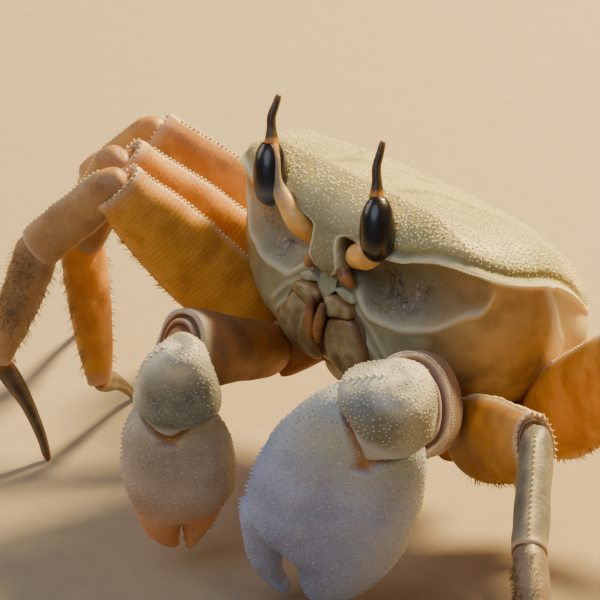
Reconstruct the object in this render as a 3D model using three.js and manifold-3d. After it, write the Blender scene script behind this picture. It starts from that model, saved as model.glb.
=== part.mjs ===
// Horned ghost crab (Ocypode saratan), life size, standing with both claws held low in front.
// Millimetres, +Z up. The crab faces -Y and its left side is +X. The origin is on the floor,
// under the middle of the whole animal. Headings are in degrees: an azimuth of 0 is straight
// ahead (-Y), 90 is the crab's left, and an elevation of 90 is straight up.
//
// The trunk is drawn in its own upright frame, with z = 0 level with the outer corners of the
// eye sockets, and then pitched and rolled into the stance. Every limb is a chain of segments,
// each one a loft of oval sections along a straight axis, and a small gap parts neighbours.
import * as THREE from 'three';
import { mergeVertices } from 'three/addons/utils/BufferGeometryUtils.js';
import Module from 'manifold-3d';

const gap = 0.3;                       // clearance between neighbouring plates
const tipHeight = -0.15;               // of a leg's last point, before its flat is cut

// ---- driving dimensions: the trunk --------------------------------------------------------
const stance = { height: 38, pitch: -4.8, roll: 4.1 };    // of the trunk over the floor
const shell = {
  halfWidth: 20.4, front: 17.2, back: 13.2,               // of the margin, seen from above
  frontCorner: 3.3, backCorner: 1.75,                     // squareness of the margin
  crown: 5.7, roundness: 2.8,                             // dome's height and fullness
  domeRings: [0.24, 0.5, 0.72, 0.88, 0.97, 1],            // shares of the way to the margin
  edge: 0.5, level: 13, fall: 0.43,                       // margin's height, level front, fall
  shoulder: { rise: 1.3, y: -3.4, reach: 4.4, halfWidth: 17 },     // of the margin's sides
  tooth: { reach: 0.5, x: 19.4, y: -11, spread: 2.5 },    // at the outer socket corner
  sides: 30,
};
// side wall below the margin: depth, then half width, front and back reach, squareness
const wall = [
  { z: -4.0, halfWidth: 20.9, front: 14.9, back: 13.3, corner: 3.3 },
  { z: -8.5, halfWidth: 20.2, front: 15.9, back: 13.4, corner: 3.1 },
  { z: -13.0, halfWidth: 18.9, front: 15.8, back: 13.0, corner: 2.9 },
  { z: -16.8, halfWidth: 16.4, front: 13.6, back: 12.0, corner: 2.7 },
  { z: -19.0, halfWidth: 12.0, front: 11.0, back: 10.0, corner: 2.5 },
];
// tongue between the eyes, bent down over the front: height, reach forward, half width
const lobe = { thick: 0.75, course: [
  { z: 3.6, y: -12.6, half: 3.6 }, { z: 2.4, y: -15.2, half: 3.8 }, { z: 0.6, y: -16.8, half: 3.4 },
  { z: -1.6, y: -17.5, half: 2.3 }, { z: -4.1, y: -17.4, half: 2.45 },
  { z: -5.9, y: -16.8, half: 0.9 },
] };
// breastplate, a stack of ovals: height, half width, half length
const sternum = { y: -0.4, corner: 2.6, levels: [
  { z: -17.4, halfWidth: 7.4, halfLength: 10.4 }, { z: -19.4, halfWidth: 8.2, halfLength: 11.0 },
  { z: -21.0, halfWidth: 7.8, halfLength: 10.2 }, { z: -22.0, halfWidth: 5.8, halfLength: 8.0 },
] };
// tail flap, from behind the shell to its tip under the breastplate
const abdomen = { thick: 0.85, course: [
  { z: -14.0, y: 14.2, half: 5.4 }, { z: -18.8, y: 13.6, half: 5.8 },
  { z: -22.2, y: 10.4, half: 5.2 }, { z: -23.2, y: 5.0, half: 4.2 },
  { z: -23.2, y: -1.0, half: 3.2 }, { z: -22.9, y: -5.6, half: 2.0 },
  { z: -22.4, y: -8.0, half: 1.1 },
] };
// mouth doors: rows are the share of the half height and of the half width
const mouth = { halfWidth: 6.3, halfHeight: 4.6, z: -12.7, y: -15.6, proud: 1.7,
  rows: [[-1, 0.55], [-0.75, 0.8], [-0.3, 0.96], [0.2, 1], [0.65, 0.9], [0.95, 0.62]] };
const eye = { stalk: 1.4, corneaRadius: 1.85, horn: 0.72, hornTip: 0.3 };
// shares of the eye's length and of the cornea's radius
const corneaRows = [[-0.02, 0.42], [0.08, 0.72], [0.25, 0.94], [0.5, 1], [0.75, 0.9],
  [0.92, 0.64], [1.0, 0.35]];
// one eye each side, in the trunk's frame: stalk root, cornea foot and top, horn bend and tip
const eyes = {
  L: { root: [3.0, -14.9, -3.2], foot: [8.0, -17.9, -0.6], top: [6.0, -16.5, 5.6],
       bend: [4.9, -15.9, 8.2], tip: [4.4, -14.8, 10.8], inward: [-1, 0.3, 0] },
  R: { root: [-3.0, -14.9, -3.2], foot: [-7.9, -17.8, -0.6], top: [-10.2, -16.4, 5.6],
       bend: [-11.1, -15.8, 8.0], tip: [-11.4, -14.7, 10.2], inward: [1, -0.3, 0] },
};

// ---- driving dimensions: the walking legs -------------------------------------------------
// lengths are merus, carpus, propodus, dactylus; deep and thick are the merus's half sizes;
// root and hip are where the leg leaves the trunk, on its left side, in the trunk's frame
const legBuild = {
  2: { root: [9.6, -6.2, -19.8], hip: [14.0, -9.0, -21.2], lengths: [25.6, 12.5, 17, 14.7],
       deep: 4.4, thick: 2.2 },
  3: { root: [11.6, -1.0, -19.8], hip: [18.2, -1.9, -21.2], lengths: [27.2, 12, 18.5, 15.7],
       deep: 4.9, thick: 2.2 },
  4: { root: [11.4, 4.6, -19.2], hip: [17.7, 6.2, -20.0], lengths: [28, 12.5, 18, 14],
       deep: 4.4, thick: 2.1 },
  5: { root: [9.6, 9.6, -18.0], hip: [14.6, 13.0, -18.6], lengths: [20, 9.5, 13, 11.5],
       deep: 3.1, thick: 1.7 },
};
// azimuth and elevation of merus, carpus and propodus, then the dactylus's azimuth alone,
// as its elevation follows from the floor
const legPose = {
  R2: [[-40, 48.5], [-62, -43], [-82, -66], [152]],
  R3: [[-36, 45], [-82, -61], [179, -84], [-148]],
  R4: [[-65, 33], [-80, -42], [-101, -75], [-135]],
  R5: [[-86, 27], [-93, -32], [-101, -76], [-110]],
  L2: [[65, 24], [40, -31], [49, -36], [51]],
  L3: [[83, 41], [79, -20], [76, -52], [80]],
  L4: [[93, 38], [92, -21], [103, -72], [111]],
  L5: [[124, 27], [120, -25], [126, -68], [143]],
};
// stations along each segment: [share of its length, half depth, half thickness, lift],
// as shares of the merus's half sizes; the hip's are in millimetres
const legStations = {
  hip: [[-0.35, 2.2, 2.0], [0.3, 2.9, 2.5], [0.8, 3.1, 2.4], [1.2, 2.6, 2.0]],
  merus: [[0.04, 0.5, 0.62], [0.12, 0.76, 0.85], [0.35, 1, 1], [0.65, 0.95, 1],
          [0.86, 0.8, 0.95], [0.97, 0.72, 0.92], [1.01, 0.54, 0.72]],
  carpus: [[-0.12, 0.32, 0.48], [0.02, 0.5, 0.74], [0.35, 0.56, 0.82], [0.75, 0.57, 0.84],
           [1.0, 0.5, 0.76]],
  propodus: [[0.0, 0.46, 0.66], [0.1, 0.58, 0.78], [0.5, 0.54, 0.72], [0.88, 0.38, 0.56],
             [1.0, 0.31, 0.48]],
  dactylus: [[0.01, 0.24, 0.38], [0.15, 0.26, 0.4, 0.05], [0.5, 0.17, 0.28, 0.14],
             [0.8, 0.12, 0.19, 0.09], [1.0, 0.08, 0.13]],
};

// ---- driving dimensions: the two claws ----------------------------------------------------
// arm: merus from shoulder to elbow; wrist, reach and face place the hand: reach runs to the
// fingertips, face is the way its outer side looks, and the third axis, across, is the way
// from the movable finger to the fixed one. Outlines are [along reach, edge, edge] across.
const claws = {
  L: {
    root: [6.4, -10.2, -17.4], shoulder: [9.2, -12.6, -18.6], elbow: [20.3, -19.8, -11.4],
    armDeep: 3.6, armThick: 3.0, rim: 5.6, sway: 2.4,
    wrist: [19.75, -30.12, 27.5], reach: [-105.9, -62.5], face: [29.6, -20.4],
    cuff: [[-9.2, 0.6, 2.8], [-8.5, -0.9, 4.0], [-7.2, -2.7, 5.0], [-5.3, -4.4, 5.7],
           [-3.6, -3.3, 6.1], [-1.6, -2.0, 6.0], [0.3, -1.2, 4.4], [2.2, -0.1, 1.2]],
    cuffThick: 4.6,
    hand: [[-3.4, -4.6, 0.5], [-1.2, -6.2, 3.0], [1.6, -7.8, 5.4], [5.0, -9.0, 6.6],
           [9.5, -9.8, 7.1], [14.0, -10.0, 7.1], [17.0, -9.6, 7.0], [19.4, -7.2, 6.6],
           [21.4, -4.4, 6.1], [23.3, -2.7, 5.5], [25.4, -2.3, 4.6], [27.6, -1.3, 3.4],
           [29.4, 0.2, 1.6]],
    handThick: 5.0,
    finger: [[15.8, -9.4, -5.4], [18.2, -10.2, -5.0], [21.6, -9.4, -4.6], [24.8, -8.3, -4.4],
             [27.4, -6.8, -3.9], [29.2, -4.8, -2.6], [30.0, -3.3, -2.3]],
    fingerThick: 2.9,
  },
  R: {
    root: [-6.4, -10.2, -17.4], shoulder: [-8.2, -12.8, -19.0], elbow: [-6.7, -29.2, -14.2],
    armDeep: 3.4, armThick: 2.9, rim: 4.2, sway: 0.8,
    wrist: [-4.24, -34.89, 23.3], reach: [-131.4, -72.6], face: [43.4, -17.4],
    cuff: [[-8.9, 0.0, 1.3], [-7.9, -1.9, 2.8], [-5.8, -3.4, 3.7], [-3.0, -4.1, 4.5],
           [-0.9, -4.6, 4.4], [0.4, -3.3, 2.8], [1.5, -2.5, 0.4], [2.5, -1.8, -0.6]],
    cuffThick: 3.7,
    hand: [[-0.8, -3.0, 2.0], [0.6, -4.2, 3.6], [2.6, -5.4, 4.6], [5.4, -6.1, 5.3],
           [9.0, -6.2, 5.6], [12.2, -5.6, 5.2], [14.0, -5.1, 3.4], [15.4, -4.7, 0.4],
           [17.6, -4.0, -0.5], [19.6, -2.8, -0.6], [21.3, -1.0, -0.5]],
    handThick: 3.9,
    finger: [[12.0, 0.6, 4.8], [14.0, 0.0, 4.6], [16.2, -0.1, 3.8], [18.6, 0.1, 2.7],
             [20.4, 0.3, 1.6], [21.4, 0.4, 0.9]],
    fingerThick: 2.1,
  },
};

// ---- colours ------------------------------------------------------------------------------
const finish = (color, roughness) =>
  new THREE.MeshStandardMaterial({ color, roughness, metalness: 0 });
const materials = {
  shell: finish(0xd9cfa0, 0.5), belly: finish(0xc8b98c, 0.55), face: finish(0x9a9070, 0.5),
  stalk: finish(0xe8b98c, 0.4), cornea: finish(0x17110d, 0.1), horn: finish(0x5a4526, 0.4),
  leg: finish(0xdb8a3a, 0.45), shank: finish(0xb59a6c, 0.55), toe: finish(0x5b4a38, 0.5),
  claw: finish(0xbfc0c4, 0.5), cuff: finish(0xb0b0a4, 0.5), arm: finish(0xb98a5c, 0.5),
};

// ---- geometry helpers ---------------------------------------------------------------------
const wasm = await Module();
wasm.setup();
const rad = THREE.MathUtils.degToRad;
const vec = (point) => new THREE.Vector3(...point);

const trunkPose = new THREE.Matrix4()
  .makeTranslation(0, 0, stance.height)
  .multiply(new THREE.Matrix4().makeRotationFromEuler(
    new THREE.Euler(rad(stance.pitch), rad(stance.roll), 0)));
const onTrunk = (point) => vec(point).applyMatrix4(trunkPose);

function heading(azimuth, elevation) {
  const flat = Math.cos(rad(elevation));
  return new THREE.Vector3(Math.sin(rad(azimuth)) * flat, -Math.cos(rad(azimuth)) * flat,
    Math.sin(rad(elevation)));
}

const squarish = (value, corner) => Math.sign(value) * Math.abs(value) ** (2 / corner);

// closed surface through rings of equal length, each end closed by a fan to its middle
function loft(rings) {
  const count = rings[0].length;
  const points = rings.flat();
  const faces = [];
  for (let row = 0; row + 1 < rings.length; row++) {
    for (let i = 0; i < count; i++) {
      const a = row * count + i;
      const b = row * count + (i + 1) % count;
      faces.push(a, b, b + count, a, b + count, a + count);
    }
  }
  for (const [row, order] of [[0, 1], [rings.length - 1, -1]]) {
    const middle = new THREE.Vector3();
    rings[row].forEach((point) => middle.addScaledVector(point, 1 / count));
    points.push(middle);
    for (let i = 0; i < count; i++) {
      const a = row * count + i;
      const b = row * count + (i + 1) % count;
      faces.push(...(order > 0 ? [points.length - 1, b, a] : [points.length - 1, a, b]));
    }
  }
  const geometry = new THREE.BufferGeometry();
  geometry.setAttribute('position', new THREE.Float32BufferAttribute(
    points.flatMap((point) => point.toArray()), 3));
  geometry.setIndex(faces);
  return volume(geometry) < 0 ? flipped(geometry) : geometry;
}

function volume(geometry) {
  const [a, b, c] = [0, 1, 2].map(() => new THREE.Vector3());
  let sum = 0;
  for (let i = 0; i < geometry.index.count; i += 3) {
    [a, b, c].forEach((corner, k) =>
      corner.fromBufferAttribute(geometry.attributes.position, geometry.index.getX(i + k)));
    sum += a.dot(b.cross(c)) / 6;
  }
  return sum;
}

function flipped(geometry) {
  const index = Array.from(geometry.index.array);
  for (let i = 0; i < index.length; i += 3) {
    [index[i], index[i + 1]] = [index[i + 1], index[i]];
  }
  geometry.setIndex(index);
  return geometry;
}

// oval section round a middle point, spanned by two half-axis vectors
function oval(middle, across, through, sides, corner = 2.2) {
  return Array.from({ length: sides }, (_, i) => {
    const turn = 2 * Math.PI * i / sides;
    return middle.clone()
      .addScaledVector(across, squarish(Math.cos(turn), corner))
      .addScaledVector(through, squarish(Math.sin(turn), corner));
  });
}

// one limb segment from start to end, its stations [fraction of the length, half depth, half
// thickness, lift, sway], where a lift moves the section up and a sway moves it sideways
function limb({ start, end, stations, sides = 10 }, grow = 0) {
  const axis = end.clone().sub(start);
  const along = axis.clone().normalize();
  const side = along.clone().cross(new THREE.Vector3(0, 0, 1)).normalize();
  const top = side.clone().cross(along);
  return loft(stations.map(([fraction, deep, thick, lift = 0, sway = 0], i) => {
    const ends = i === 0 ? -grow : i === stations.length - 1 ? grow : 0;
    const middle = start.clone().addScaledVector(axis, fraction).addScaledVector(along, ends)
      .addScaledVector(top, lift).addScaledVector(side, sway);
    return oval(middle, top.clone().multiplyScalar(deep + grow),
      side.clone().multiplyScalar(thick + grow), sides);
  }));
}

// slab that follows a course down the trunk's middle line, in the trunk's frame
function strip({ course, thick }, sides, corner) {
  return loft(course.map(({ y, z, half }, i) => {
    const [before, after] = [course[Math.max(0, i - 1)],
      course[Math.min(course.length - 1, i + 1)]];
    const run = new THREE.Vector3(0, after.y - before.y, after.z - before.z).normalize();
    const through = run.cross(new THREE.Vector3(1, 0, 0)).multiplyScalar(thick);
    return oval(vec([0, y, z]), vec([half, 0, 0]), through, sides, corner)
      .map((point) => point.applyMatrix4(trunkPose));
  }));
}

function toManifold(geometry) {
  const merged = mergeVertices(geometry.clone(), 1e-5);
  return new wasm.Manifold(new wasm.Mesh({
    numProp: 3,
    vertProperties: new Float32Array(merged.attributes.position.array),
    triVerts: new Uint32Array(merged.index.array),
  }));
}

function fromManifold(solid) {
  const mesh = solid.getMesh();
  const geometry = new THREE.BufferGeometry();
  geometry.setAttribute('position', new THREE.BufferAttribute(mesh.vertProperties, 3));
  geometry.setIndex(new THREE.BufferAttribute(mesh.triVerts, 1));
  return geometry;
}

// the largest piece left of a body when the cutters are taken away
function parted(body, ...cutters) {
  let solid = toManifold(body);
  for (const cutter of cutters) {
    solid = solid.subtract(toManifold(cutter));
  }
  const pieces = solid.decompose().sort((a, b) => b.volume() - a.volume());
  return fromManifold(pieces[0]);
}

function joined(...bodies) {
  return fromManifold(bodies.map(toManifold).reduce((sum, next) => sum.add(next)));
}

const crab = new THREE.Group();
function plate(name, geometry, material) {
  const mesh = new THREE.Mesh(geometry, materials[material]);
  mesh.name = name;
  crab.add(mesh);
}

// ---- trunk --------------------------------------------------------------------------------
// height of the margin: level along the front, then falling towards the back
const marginHeight = (y, side = 0) => shell.edge - shell.fall * Math.max(0, y + shell.level)
  + side * shell.shoulder.rise
    * Math.exp(-(((y - shell.shoulder.y) / shell.shoulder.reach) ** 2));

function toothAt(x, y) {
  const { reach, spread, ...at } = shell.tooth;
  return reach * Math.exp(-((Math.abs(x) - at.x) ** 2 + (y - at.y) ** 2) / spread);
}

function outline(halfWidth, front, back, frontCorner, backCorner) {
  return Array.from({ length: shell.sides }, (_, i) => {
    const turn = 2 * Math.PI * i / shell.sides;
    const ahead = Math.sin(turn) < 0;
    const corner = ahead ? frontCorner : backCorner;
    return [halfWidth * squarish(Math.cos(turn), corner),
      (ahead ? front : back) * squarish(Math.sin(turn), corner)];
  });
}

function shellSolid(grow = 0) {
  const margin = outline(shell.halfWidth + grow, shell.front + grow, shell.back + grow,
    shell.frontCorner, shell.backCorner);
  const rings = shell.domeRings.map((reach) => margin.map(([x, y]) => {
    const rise = shell.crown * Math.sqrt(1 - reach ** shell.roundness);
    const tooth = reach === 1 ? toothAt(x, y) : 0;
    const side = Math.min(1, (x * reach / shell.shoulder.halfWidth) ** 4);
    return onTrunk([x * reach + Math.sign(x) * tooth, y * reach - tooth / 2,
      marginHeight(y * reach, side) + rise + grow]);
  }));
  wall.forEach(({ z, halfWidth, front, back, corner }, level) => {
    const ring = outline(halfWidth + grow, front + grow, back + grow, corner, shell.backCorner);
    const flatten = (level + 1) / wall.length;
    rings.push(ring.map(([x, y]) =>
      onTrunk([x, y, z + (marginHeight(y) - shell.edge) * (1 - flatten) - grow * flatten])));
  });
  return loft(rings);
}

const trunk = joined(shellSolid(), strip(lobe, 12, 2.6));
const trunkClear = joined(shellSolid(gap), strip(lobe, 12, 2.6));
plate('carapace', trunk, 'shell');

// breastplate under the trunk, between the roots of the limbs
function sternumSolid(grow = 0) {
  return loft(sternum.levels.map(({ z, halfWidth, halfLength }, i, all) => {
    const rise = i === all.length - 1 ? -grow : i === 0 ? grow : 0;
    return oval(vec([0, sternum.y, z + rise]), vec([halfWidth + grow, 0, 0]),
      vec([0, halfLength + grow, 0]), 14, sternum.corner)
      .map((point) => point.applyMatrix4(trunkPose));
  }));
}
plate('sternum', parted(sternumSolid(), trunkClear), 'belly');

// the narrow tail flap of a male, folded forward under the breastplate
plate('abdomen', parted(strip(abdomen, 8, 2.8), trunkClear, sternumSolid(gap)), 'belly');

// the pair of broad third maxillipeds that close the mouth like doors
function mouthSolid(grow = 0) {
  return loft(mouth.rows.map(([row, width]) => {
    const bow = Math.sqrt(1 - (row * 0.85) ** 2);
    const middle = vec([0, mouth.y, mouth.z + row * mouth.halfHeight]);
    return oval(middle, vec([mouth.halfWidth * width + grow, 0, 0]),
      vec([0, mouth.proud * (0.55 + 0.45 * bow) + 0.4 + grow, 0]), 14, 2.4)
      .map((point) => point.applyMatrix4(trunkPose));
  }));
}
plate('mouthparts', parted(mouthSolid(), trunkClear), 'face');

// ---- eyes ---------------------------------------------------------------------------------
for (const [side, { root, foot, top, bend, tip, inward }] of Object.entries(eyes)) {
  const [rootAt, footAt, topAt, bendAt, tipAt] = [root, foot, top, bend, tip].map(onTrunk);
  const lean = vec(inward).normalize();
  const spine = (fraction, offset) =>
    footAt.clone().lerp(topAt, fraction).addScaledVector(lean, offset);
  const rod = (points, radii, grow = 0) => loft(points.map((point, i) => {
    const run = points[Math.min(points.length - 1, i + 1)].clone()
      .sub(points[Math.max(0, i - 1)]).normalize();
    const across = run.clone().cross(new THREE.Vector3(0, 1, 0.1)).normalize();
    const through = run.clone().cross(across);
    const shift = i === points.length - 1 ? grow : i === 0 ? -grow : 0;
    return oval(point.clone().addScaledVector(run, shift),
      across.multiplyScalar(radii[i] + grow), through.multiplyScalar(radii[i] + grow), 8, 2);
  }));
  const stalkPath = [rootAt, rootAt.clone().lerp(footAt, 0.55), spine(-0.04, 0.5),
    spine(0.2, 1.0), spine(0.6, 1.1), spine(0.9, 0.75), spine(1.03, 0.1)];
  const stalkRadii = [1.0, eye.stalk, eye.stalk + 0.2, eye.stalk, 0.95, 0.85, 0.8];
  const hornPath = [spine(1.03, 0.1), bendAt.clone().lerp(topAt, 0.5), bendAt,
    bendAt.clone().lerp(tipAt, 0.55), tipAt];
  const hornRadii = [eye.horn, eye.horn * 0.85, eye.horn * 0.72, eye.horn * 0.6, eye.hornTip];
  const cornea = (grow) => rod(corneaRows.map(([at]) => spine(at, -0.25)),
    corneaRows.map(([, size]) => size * eye.corneaRadius), grow);
  plate(`eyestalk_${side}`, parted(rod(stalkPath, stalkRadii), trunkClear), 'stalk');
  plate(`cornea_${side}`, parted(cornea(0), trunkClear, rod(stalkPath, stalkRadii, gap)),
    'cornea');
  plate(`horn_${side}`, parted(rod(hornPath, hornRadii), rod(stalkPath, stalkRadii, gap),
    cornea(gap)), 'horn');
}

// ---- claws --------------------------------------------------------------------------------
const shoulderRows = [[-0.2, 2.4, 2.2], [0.4, 2.8, 2.6], [1.05, 2.9, 2.6], [1.5, 2.5, 2.1]];

for (const [side, claw] of Object.entries(claws)) {
  const [root, shoulder, elbow] = [claw.root, claw.shoulder, claw.elbow].map(onTrunk);
  const wrist = vec(claw.wrist);
  const reach = heading(...claw.reach);
  const face = heading(...claw.face);
  face.addScaledVector(reach, -face.dot(reach)).normalize();
  const across = face.clone().cross(reach);
  // a flattened body drawn by its two edges along the reach
  const flatBody = (rows, thick, taper, grow = 0, sides = 16, proud = 0) =>
    loft(rows.map(([along, low, high], i) => {
      const ends = i === 0 ? -grow : i === rows.length - 1 ? grow : 0;
      const middle = wrist.clone().addScaledVector(reach, along + ends)
        .addScaledVector(across, (low + high) / 2).addScaledVector(face, proud);
      const half = thick * taper(i / (rows.length - 1)) + grow;
      return oval(middle, across.clone().multiplyScalar((high - low) / 2 + grow),
        face.clone().multiplyScalar(half), sides, 2.2);
    }));
  const swell = (at) => Math.max(0.16, Math.sin(Math.PI * (0.12 + 0.86 * at)) ** 0.75);
  const fade = (at) => 1 - 0.78 * at ** 1.3;
  const bulge = (at) => Math.max(0.3, Math.sin(Math.PI * (0.1 + 0.8 * at)) ** 0.6);

  const base = { start: root, end: shoulder, sides: 8, stations: shoulderRows };
  const arm = { start: shoulder, end: elbow, sides: 10, stations: [
    [0.06, 1.8, 1.6], [0.2, claw.armDeep * 0.86, claw.armThick * 0.9],
    [0.5, claw.armDeep, claw.armThick], [0.84, claw.rim, claw.rim * 0.76, 0, claw.sway * 0.35],
    [0.98, claw.rim, claw.rim * 0.76, 0, claw.sway],
    [1.06, claw.rim * 0.86, claw.rim * 0.62, 0, claw.sway]] };
  const cuff = (grow) => flatBody(claw.cuff, claw.cuffThick, bulge, grow, 12, 0.4);
  const hand = (grow) => flatBody(claw.hand, claw.handThick, swell, grow, 14);
  plate(`claw_base_${side}`, parted(limb(base), trunkClear, sternumSolid(gap), mouthSolid(gap),
    limb(arm, gap)), 'arm');
  plate(`claw_merus_${side}`, parted(limb(arm), trunkClear, mouthSolid(gap)), 'arm');
  plate(`claw_carpus_${side}`, parted(cuff(0), limb(arm, gap)), 'cuff');
  plate(`claw_palm_${side}`, parted(hand(0), cuff(gap), limb(arm, gap)), 'claw');
  plate(`claw_finger_${side}`, parted(flatBody(claw.finger, claw.fingerThick, fade, 0, 8),
    hand(gap)), 'claw');
}

// ---- walking legs -------------------------------------------------------------------------
const mirrored = (side, [x, y, z]) => [side === 'R' ? -x : x, y, z];
const scaled = (stations, deep, thick) =>
  stations.map(([at, half, width, lift = 0]) => [at, half * deep, width * thick, lift * deep]);

// everything below the floor, which trims the tips of the legs flat
const ground = new THREE.BoxGeometry(300, 300, 40).translate(0, 0, -20);
ground.deleteAttribute('normal');
ground.deleteAttribute('uv');

for (const [leg, pose] of Object.entries(legPose)) {
  const [side, number] = leg;
  const { root, hip, lengths, deep, thick } = legBuild[number];
  const joints = [onTrunk(mirrored(side, hip))];
  pose.forEach(([azimuth, elevation], i) => {
    const from = joints.at(-1);
    // the last segment drops from its joint to the floor
    const slope = elevation ?? -THREE.MathUtils.radToDeg(
      Math.asin((from.z - tipHeight) / lengths[i]));
    joints.push(from.clone().addScaledVector(heading(azimuth, slope), lengths[i]));
  });
  const [hipAt, knee, ankle, toe, tip] = joints;
  const base = { start: onTrunk(mirrored(side, root)), end: hipAt, sides: 6,
    stations: legStations.hip };
  const segment = (name, start, end, sides) =>
    ({ start, end, sides, stations: scaled(legStations[name], deep, thick) });
  const merus = segment('merus', hipAt, knee, 8);
  const carpus = segment('carpus', knee, ankle, 8);
  const propodus = segment('propodus', ankle, toe, 8);
  const dactylus = segment('dactylus', toe, tip, 6);
  const clawBase = { start: onTrunk(claws[side].root), end: onTrunk(claws[side].shoulder),
    sides: 8, stations: shoulderRows };
  plate(`leg${number}_hip_${side}`, parted(limb(base), trunkClear, sternumSolid(gap),
    limb(merus, gap), limb(clawBase, gap)), 'leg');
  plate(`leg${number}_merus_${side}`, parted(limb(merus), trunkClear), 'leg');
  plate(`leg${number}_carpus_${side}`, parted(limb(carpus), limb(merus, gap)), 'shank');
  plate(`leg${number}_propodus_${side}`, parted(limb(propodus), limb(carpus, gap)), 'shank');
  plate(`leg${number}_dactylus_${side}`, parted(limb(dactylus), limb(propodus, gap), ground),
    'toe');
}

// ---- origin: on the floor under the middle of the animal ----------------------------------
const box = new THREE.Box3().setFromObject(crab);
const middle = box.getCenter(new THREE.Vector3());
crab.children.forEach((mesh) => mesh.geometry.translate(-middle.x, -middle.y, 0));

export default crab;
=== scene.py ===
# %% [markdown]
# A horned ghost crab, life size, standing with both claws held low in front. The solid model is
# the frame: it fixes the size and the place of every plate. This notebook rebuilds each plate
# over it as a fine surface, with the ridges, beads, teeth and bristles that a crab really has.
#
# Shapes are worked out in millimetres, in the drawing's own axes (x to the crab's left, y
# behind it, z up), and turned into metres at the very end.

# %% Load the frame
import math

import bpy
import numpy as np
from mathutils import Matrix, Vector


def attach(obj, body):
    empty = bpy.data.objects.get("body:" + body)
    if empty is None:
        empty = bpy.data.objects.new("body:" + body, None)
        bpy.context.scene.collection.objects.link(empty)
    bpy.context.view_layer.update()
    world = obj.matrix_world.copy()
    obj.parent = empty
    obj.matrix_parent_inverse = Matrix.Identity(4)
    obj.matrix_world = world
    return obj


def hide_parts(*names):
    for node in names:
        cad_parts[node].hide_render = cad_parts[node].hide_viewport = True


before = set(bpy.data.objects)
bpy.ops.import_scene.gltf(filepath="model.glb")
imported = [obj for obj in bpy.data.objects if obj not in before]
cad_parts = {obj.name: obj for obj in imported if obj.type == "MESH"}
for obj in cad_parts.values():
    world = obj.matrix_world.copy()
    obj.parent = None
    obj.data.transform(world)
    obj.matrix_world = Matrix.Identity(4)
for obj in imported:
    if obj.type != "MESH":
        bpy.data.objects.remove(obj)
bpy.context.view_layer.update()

print("nodes in the frame:", len(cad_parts))

# %% [markdown]
# The trunk is drawn upright and then pitched and rolled into the stance, as a person would hold
# a model while carving it. Two angles and a height place it over the floor. The whole animal
# is then centred, so its middle is taken away from every point.

# %% Axes of the trunk and of the whole animal
MILLIMETRE = 0.001
CENTRE = np.array([0.76357, -6.08499, 0.0])      # middle of the animal, in the drawing
TRUNK_HEIGHT, TRUNK_PITCH, TRUNK_ROLL = 38.0, math.radians(-4.8), math.radians(4.1)


def turned(angle, axis):
    """Matrix that turns points round an axis."""
    return np.array(Matrix.Rotation(angle, 3, axis))


TRUNK_TURN = turned(TRUNK_PITCH, "X") @ turned(TRUNK_ROLL, "Y")


def on_trunk(points):
    """Points of the upright trunk, put in its stance."""
    return np.asarray(points, float) @ TRUNK_TURN.T + (0.0, 0.0, TRUNK_HEIGHT)


def in_metres(points):
    """Points of the drawing, centred and in metres."""
    return (np.asarray(points, float) - CENTRE) * MILLIMETRE


def heading(azimuth, elevation):
    """Unit vector: azimuth 0 is straight ahead of the crab, 90 its left, elevation 90 is up."""
    azimuth, elevation = math.radians(azimuth), math.radians(elevation)
    flat = math.cos(elevation)
    return np.array([math.sin(azimuth) * flat, -math.cos(azimuth) * flat, math.sin(elevation)])


def unit(vectors):
    """The same directions, each one unit long."""
    vectors = np.asarray(vectors, float)
    return vectors / np.linalg.norm(vectors, axis=-1, keepdims=True)


print("trunk origin in metres:", in_metres(on_trunk([0, 0, 0])).round(4))

# %% [markdown]
# The camera is a long lens near the ground, in front of the crab and to its left. It is aimed,
# not shifted: the aim is worked out from where the trunk should stand in the picture, and the
# picture's rows are kept level with the trunk's own.

# %% Camera
CAMERA_DISTANCE = 450.0
CAMERA_AZIMUTH, CAMERA_ELEVATION = 44.56, 24.0
FOCAL_PIXELS, PICTURE_PIXELS = 4185.0, 600
TRUNK_PIXEL = (442.0, 190.5)
SENSOR_WIDTH = 36.0

back = heading(CAMERA_AZIMUTH, CAMERA_ELEVATION)
level = unit(np.cross((0, 0, 1), back))
rise = np.cross(back, level)
right_of_trunk = (PICTURE_PIXELS / 2 - TRUNK_PIXEL[0]) / FOCAL_PIXELS
above_trunk = (TRUNK_PIXEL[1] - PICTURE_PIXELS / 2) / FOCAL_PIXELS
forward = unit(-back + right_of_trunk * level + above_trunk * rise)
camera_x = unit(level - forward * (level @ forward))
camera_y = np.cross(camera_x, forward)
eye_point = in_metres(on_trunk([0, 0, 0]) + CAMERA_DISTANCE * back)

camera = bpy.data.objects.new("camera", bpy.data.cameras.new("camera"))
bpy.context.collection.objects.link(camera)
turn = Matrix(np.column_stack([camera_x, camera_y, -forward]).tolist()).to_4x4()
camera.matrix_world = Matrix.Translation(Vector(eye_point)) @ turn
camera.data.sensor_width = SENSOR_WIDTH
camera.data.lens = FOCAL_PIXELS / PICTURE_PIXELS * SENSOR_WIDTH
camera.data.clip_start = 0.01
bpy.context.scene.camera = camera
print("lens in millimetres:", round(camera.data.lens, 1))

# %% [markdown]
# Shader maths reads best as sums. One small class wraps a socket, so that `1 - mask` or
# `a * b + c` adds the Math nodes by itself, and one method makes every other node from its
# type, its settings and what goes into its sockets.

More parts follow.
